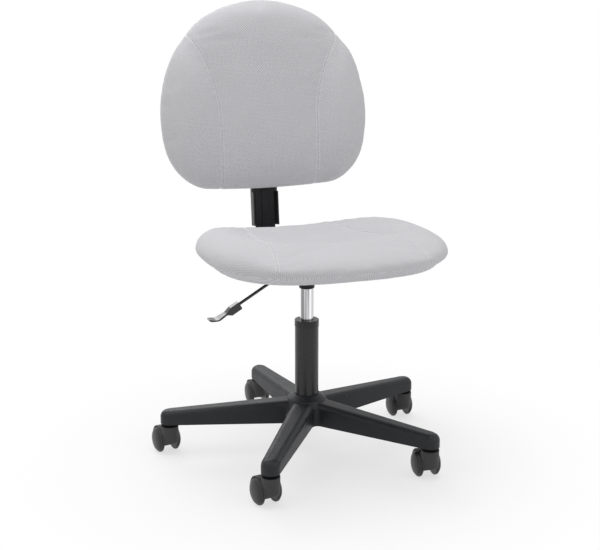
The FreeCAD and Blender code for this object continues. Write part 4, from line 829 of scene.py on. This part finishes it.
# %% [markdown]
# ## Back cushion
# The back is an egg-shaped pad that leans back a little, with two side wings that swell past its seams.
# It is made as the seat is, but in its own leaning frame, where the pad lies flat and its front faces up.
# In that frame the seams are laid on it, and the points to be held are found.

# %% Back cushion
RECLINE = math.radians(6.2)
BACK_PLACE = Vector((0, 0.302, 0.689))
BACK_LEVEL = 0.027
BACK_THICKNESS = 0.062
BACK_REACH = (0.236, 0.209)
REAR_FACING, REAR_DEPTH = -0.5, 0.004

LEANING = Matrix.Translation(BACK_PLACE) @ Matrix.Rotation(math.radians(90) - RECLINE, 4, "X")
TURN_FLAT = np.array(LEANING.to_3x3())


def laid_flat(rows):
    """Places in the back's own frame: across, up and out of its front."""
    return (rows - np.array(BACK_PLACE)) @ TURN_FLAT


back = copy_of_solid("back_cushion", "back_cover")
even_net(back, COVER_NET, NET_ROUNDS)
back_seams = [laid_seam(back, LEANING, BACK_SEAM, BACK_LEVEL, side) for side in (1, -1)]
rows, normals = laid_flat(points_of(back)), normals_of(back) @ TURN_FLAT
gap, _ = distance_to(points_of(back), back_seams)
held = (normals[:, 2] < REAR_FACING) | (rows[:, 2] < REAR_DEPTH) | (gap < HELD_BESIDE_SEAM)
print("back net:", len(rows), "points, held", int(held.sum()))

# %% [markdown]
# ## Swelling and sewing the back
# Pressure alone would swell the wings as little as the middle.
# So they are raised further in code: smoothly from the seam outwards, and only where they face the front.

# %% Swell and sew the back
BACK_SWELL = 0.0060
BACK_PRESSURE = 12.0
WING_RISE, WING_FADE = 0.0080, 0.060

seam_x = np.interp(rows[:, 1], *zip(*sorted((p.y, p.x) for p in BACK_SEAM)))
past_seam = np.clip((np.abs(rows[:, 0]) - seam_x) / WING_FADE, 0, 1)
wing = past_seam * past_seam * (3 - 2 * past_seam) * np.clip(normals[:, 2] - REAR_FACING, 0, 1)
swell(back, held, np.full(len(rows), BACK_SWELL), BACK_PRESSURE)
move_points(back, points_of(back) + normals_of(back) * (WING_RISE * wing)[:, None])
apply_modifier(back, "SUBSURF", levels=1, render_levels=1)
back_seams = [laid_seam(back, LEANING, BACK_SEAM, BACK_LEVEL, side) for side in (1, -1)]
sew(back, back_seams, (normals_of(back) @ TURN_FLAT)[:, 2])
rows = laid_flat(points_of(back))
map_weave(back, rows[:, :2], BACK_THICKNESS - rows[:, 2], BACK_REACH)
print(f"back cover: {len(back.data.polygons)} faces, {sum(map(len, back_seams)) * SEAM_STEP:.2f} m of seams")

# %% [markdown]
# ## What the covers stand for
# Each cover replaces its solid and rides on the seat as it does.
# The foam is firm, so both count as well filled.

def upholster(cover, node):
    only(cover)
    bpy.ops.object.shade_smooth()
    cover.data.materials.clear()
    cover.data.materials.append(fabric)
    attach(cover, "seat")
    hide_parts(node)
    print(f"{cover.name} stands for {node}")


upholster(seat, "seat_cushion")
upholster(back, "back_cushion")

# %% [markdown]
# ## Stitches
# Each seam is top-stitched on both sides with a light thread, which shows as two fine broken lines.
# A painted line would look flat up close, so one stitch is modelled and repeated along the seam:
# an Array modifier makes the row, and a Curve modifier bends it along a curve that lies on the cover.

# %% One row of stitches
STITCH_PITCH = 0.0042
STITCH_LENGTH = 0.0034
STITCH_WIDTH, STITCH_HEIGHT = 0.0015, 0.0010
STITCH_RISE = 0.0002


def row_beside(piece, seam, offset):
    """Points on the cover beside a seam."""
    spots = []
    for before, here, after in zip(seam, seam[1:], seam[2:]):
        _, spot, normal, _ = piece.closest_point_on_mesh(Vector(here))
        across = normal.cross(Vector(after) - Vector(before)).normalized()
        _, spot, normal, _ = piece.closest_point_on_mesh(Vector(here) + across * offset)
        spots.append(spot + normal * STITCH_RISE)
    return evenly(spots)


def guide_curve(spots, name):
    """A curve through points."""
    path = bpy.data.curves.new(name, "CURVE")
    path.dimensions = "3D"
    spline = path.splines.new("POLY")
    spline.points.add(len(spots) - 1)
    spline.points.foreach_set("co", np.hstack([spots, np.ones((len(spots), 1))]).ravel())
    guide = bpy.data.objects.new(name, path)
    scene.collection.objects.link(guide)
    return guide


def stitch_row(spots, name):
    """One row of stitches along points."""
    guide = guide_curve(spots, name + "_path")
    bpy.ops.object.select_all(action="DESELECT")
    bpy.ops.mesh.primitive_uv_sphere_add(segments=6, ring_count=4, radius=0.5, location=(0, 0, 0))
    row = bpy.context.object
    row.name = name
    bpy.ops.object.mode_set(mode="EDIT")
    bpy.ops.transform.rotate(value=math.radians(90), orient_axis="Y", center_override=(0, 0, 0))
    bpy.ops.transform.resize(value=(STITCH_LENGTH, STITCH_WIDTH, STITCH_HEIGHT), center_override=(0, 0, 0))
    bpy.ops.object.mode_set(mode="OBJECT")
    length = np.linalg.norm(np.diff(spots, axis=0), axis=1).sum()
    apply_modifier(row, "ARRAY", fit_type="FIXED_COUNT", count=int(length / STITCH_PITCH),
                   use_relative_offset=False, use_constant_offset=True,
                   constant_offset_displace=(STITCH_PITCH, 0, 0))
    apply_modifier(row, "CURVE", object=guide, deform_axis="POS_X")
    bpy.data.objects.remove(guide)
    return row


print("stitches of", 1000 * STITCH_LENGTH, "mm")

# %% [markdown]
# ## All the stitches
# Every seam gets a row on each side, and the rows of one cushion are joined into one piece.
# One piece to a cushion keeps the list of pieces short, and the thread rides with its cover.

# %% All the stitches
ROW_OFFSET = 0.0030

for cover, seams, name in ((seat, seat_seams, "seat_stitches"), (back, back_seams, "back_stitches")):
    made = []
    for number, seam in enumerate(seams):
        for label, offset in (("inner", ROW_OFFSET), ("outer", -ROW_OFFSET)):
            made.append(stitch_row(row_beside(cover, seam, offset), f"{name}_{number}_{label}"))
    only(made[0])
    for row in made:
        row.select_set(True)
    bpy.ops.object.join()
    made[0].name = name
    bpy.ops.object.shade_smooth()
    made[0].data.materials.clear()
    made[0].data.materials.append(thread)
    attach(made[0], "seat")
    print(f"{name}: {len(made[0].data.polygons)} faces")

# %% [markdown]
# ## Rear panel
# The back's rear is closed by a flat panel in the same fabric, drawn over a thin pad.
# A new panel could be drawn, but its outline is the solid's, so that is copied and its edges are softened.

# %% Rear panel
PANEL_NET, PANEL_ROUNDS = 0.003, 6

rear = copy_of_solid("rear_panel", "rear_panel_cover")
even_net(rear, PANEL_NET, PANEL_ROUNDS)
rows = laid_flat(points_of(rear))
map_weave(rear, rows[:, :2], np.zeros(len(rows)), BACK_REACH)
upholster(rear, "rear_panel")
print(f"rear panel: {len(rear.data.polygons)} faces")

# %% [markdown]
# ## Dust cloth
# Under the seat a thin felt is stapled flat over the board.
# Its solid is a slab, and cloth has no such thickness, so only the lower skin of the copy is kept.
# Planes cut it into small squares, which lets it belly out a little between its edge and the steel plate.

# %% Cut the dust cloth
CLOTH_SQUARE = 0.02
LOWER_FACING = -0.5

cloth = copy_of_solid("dust_cover", "dust_cloth")
cloth_low, cloth_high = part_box("dust_cover")
only(cloth)
bpy.ops.object.mode_set(mode="EDIT")
bpy.ops.mesh.select_mode(type="FACE")
bpy.ops.mesh.select_all(action="DESELECT")
bpy.ops.object.mode_set(mode="OBJECT")
for face in cloth.data.polygons:
    face.select = face.normal.z > LOWER_FACING
bpy.ops.object.mode_set(mode="EDIT")
bpy.ops.mesh.delete(type="FACE")
for axis in (0, 1):
    for step in range(1, int((cloth_high[axis] - cloth_low[axis]) / CLOTH_SQUARE) + 1):
        bpy.ops.mesh.select_all(action="SELECT")
        cut = [0.0, 0.0, 0.0]
        cut[axis] = cloth_low[axis] + step * CLOTH_SQUARE
        bpy.ops.mesh.bisect(plane_co=cut, plane_no=[float(axis == k) for k in range(3)])
bpy.ops.object.mode_set(mode="OBJECT")
print(f"dust cloth: {len(cloth.data.polygons)} faces")

# %% [markdown]
# ## Hanging the dust cloth
# The felt is held at its stapled edge and clamped under the steel plate,
# and sags by two or three millimetres between.
# A simulation would give the same shallow belly,
# so the points are lowered directly, by their distance from both edges.

# %% Hang the dust cloth
SAG = 0.0025
PLATE_FADE, EDGE_FADE = 0.03, 0.04

rows = points_of(cloth)
_, plate_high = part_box("seat_plate")
from_plate = np.maximum(np.abs(rows[:, 0]) - plate_high.x, np.abs(rows[:, 1]) - plate_high.y)
cloth_middle, cloth_reach = (cloth_low + cloth_high) / 2, (cloth_high - cloth_low) / 2
from_edge = min(cloth_reach.x, cloth_reach.y) - np.hypot(rows[:, 0], rows[:, 1] - cloth_middle.y)
rows[:, 2] -= SAG * np.clip(from_plate / PLATE_FADE, 0, 1) * np.clip(from_edge / EDGE_FADE, 0, 1)
move_points(cloth, rows)
cloth.data.materials.clear()
cloth.data.materials.append(felt)
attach(cloth, "seat")
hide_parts("dust_cover")

# %% [markdown]
# ## Sizes
# The dressed chair has to keep the size of its construction model, apart from the little that fabric swells.
# Both boxes are written down, so that they can be compared after each change.

# %% Sizes and finish
new_low, new_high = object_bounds()
for label, low, high in (("solids", cad_low, cad_high), ("dressed", new_low, new_high)):
    print(label, [round(b - a, 4) for a, b in zip(low, high)])
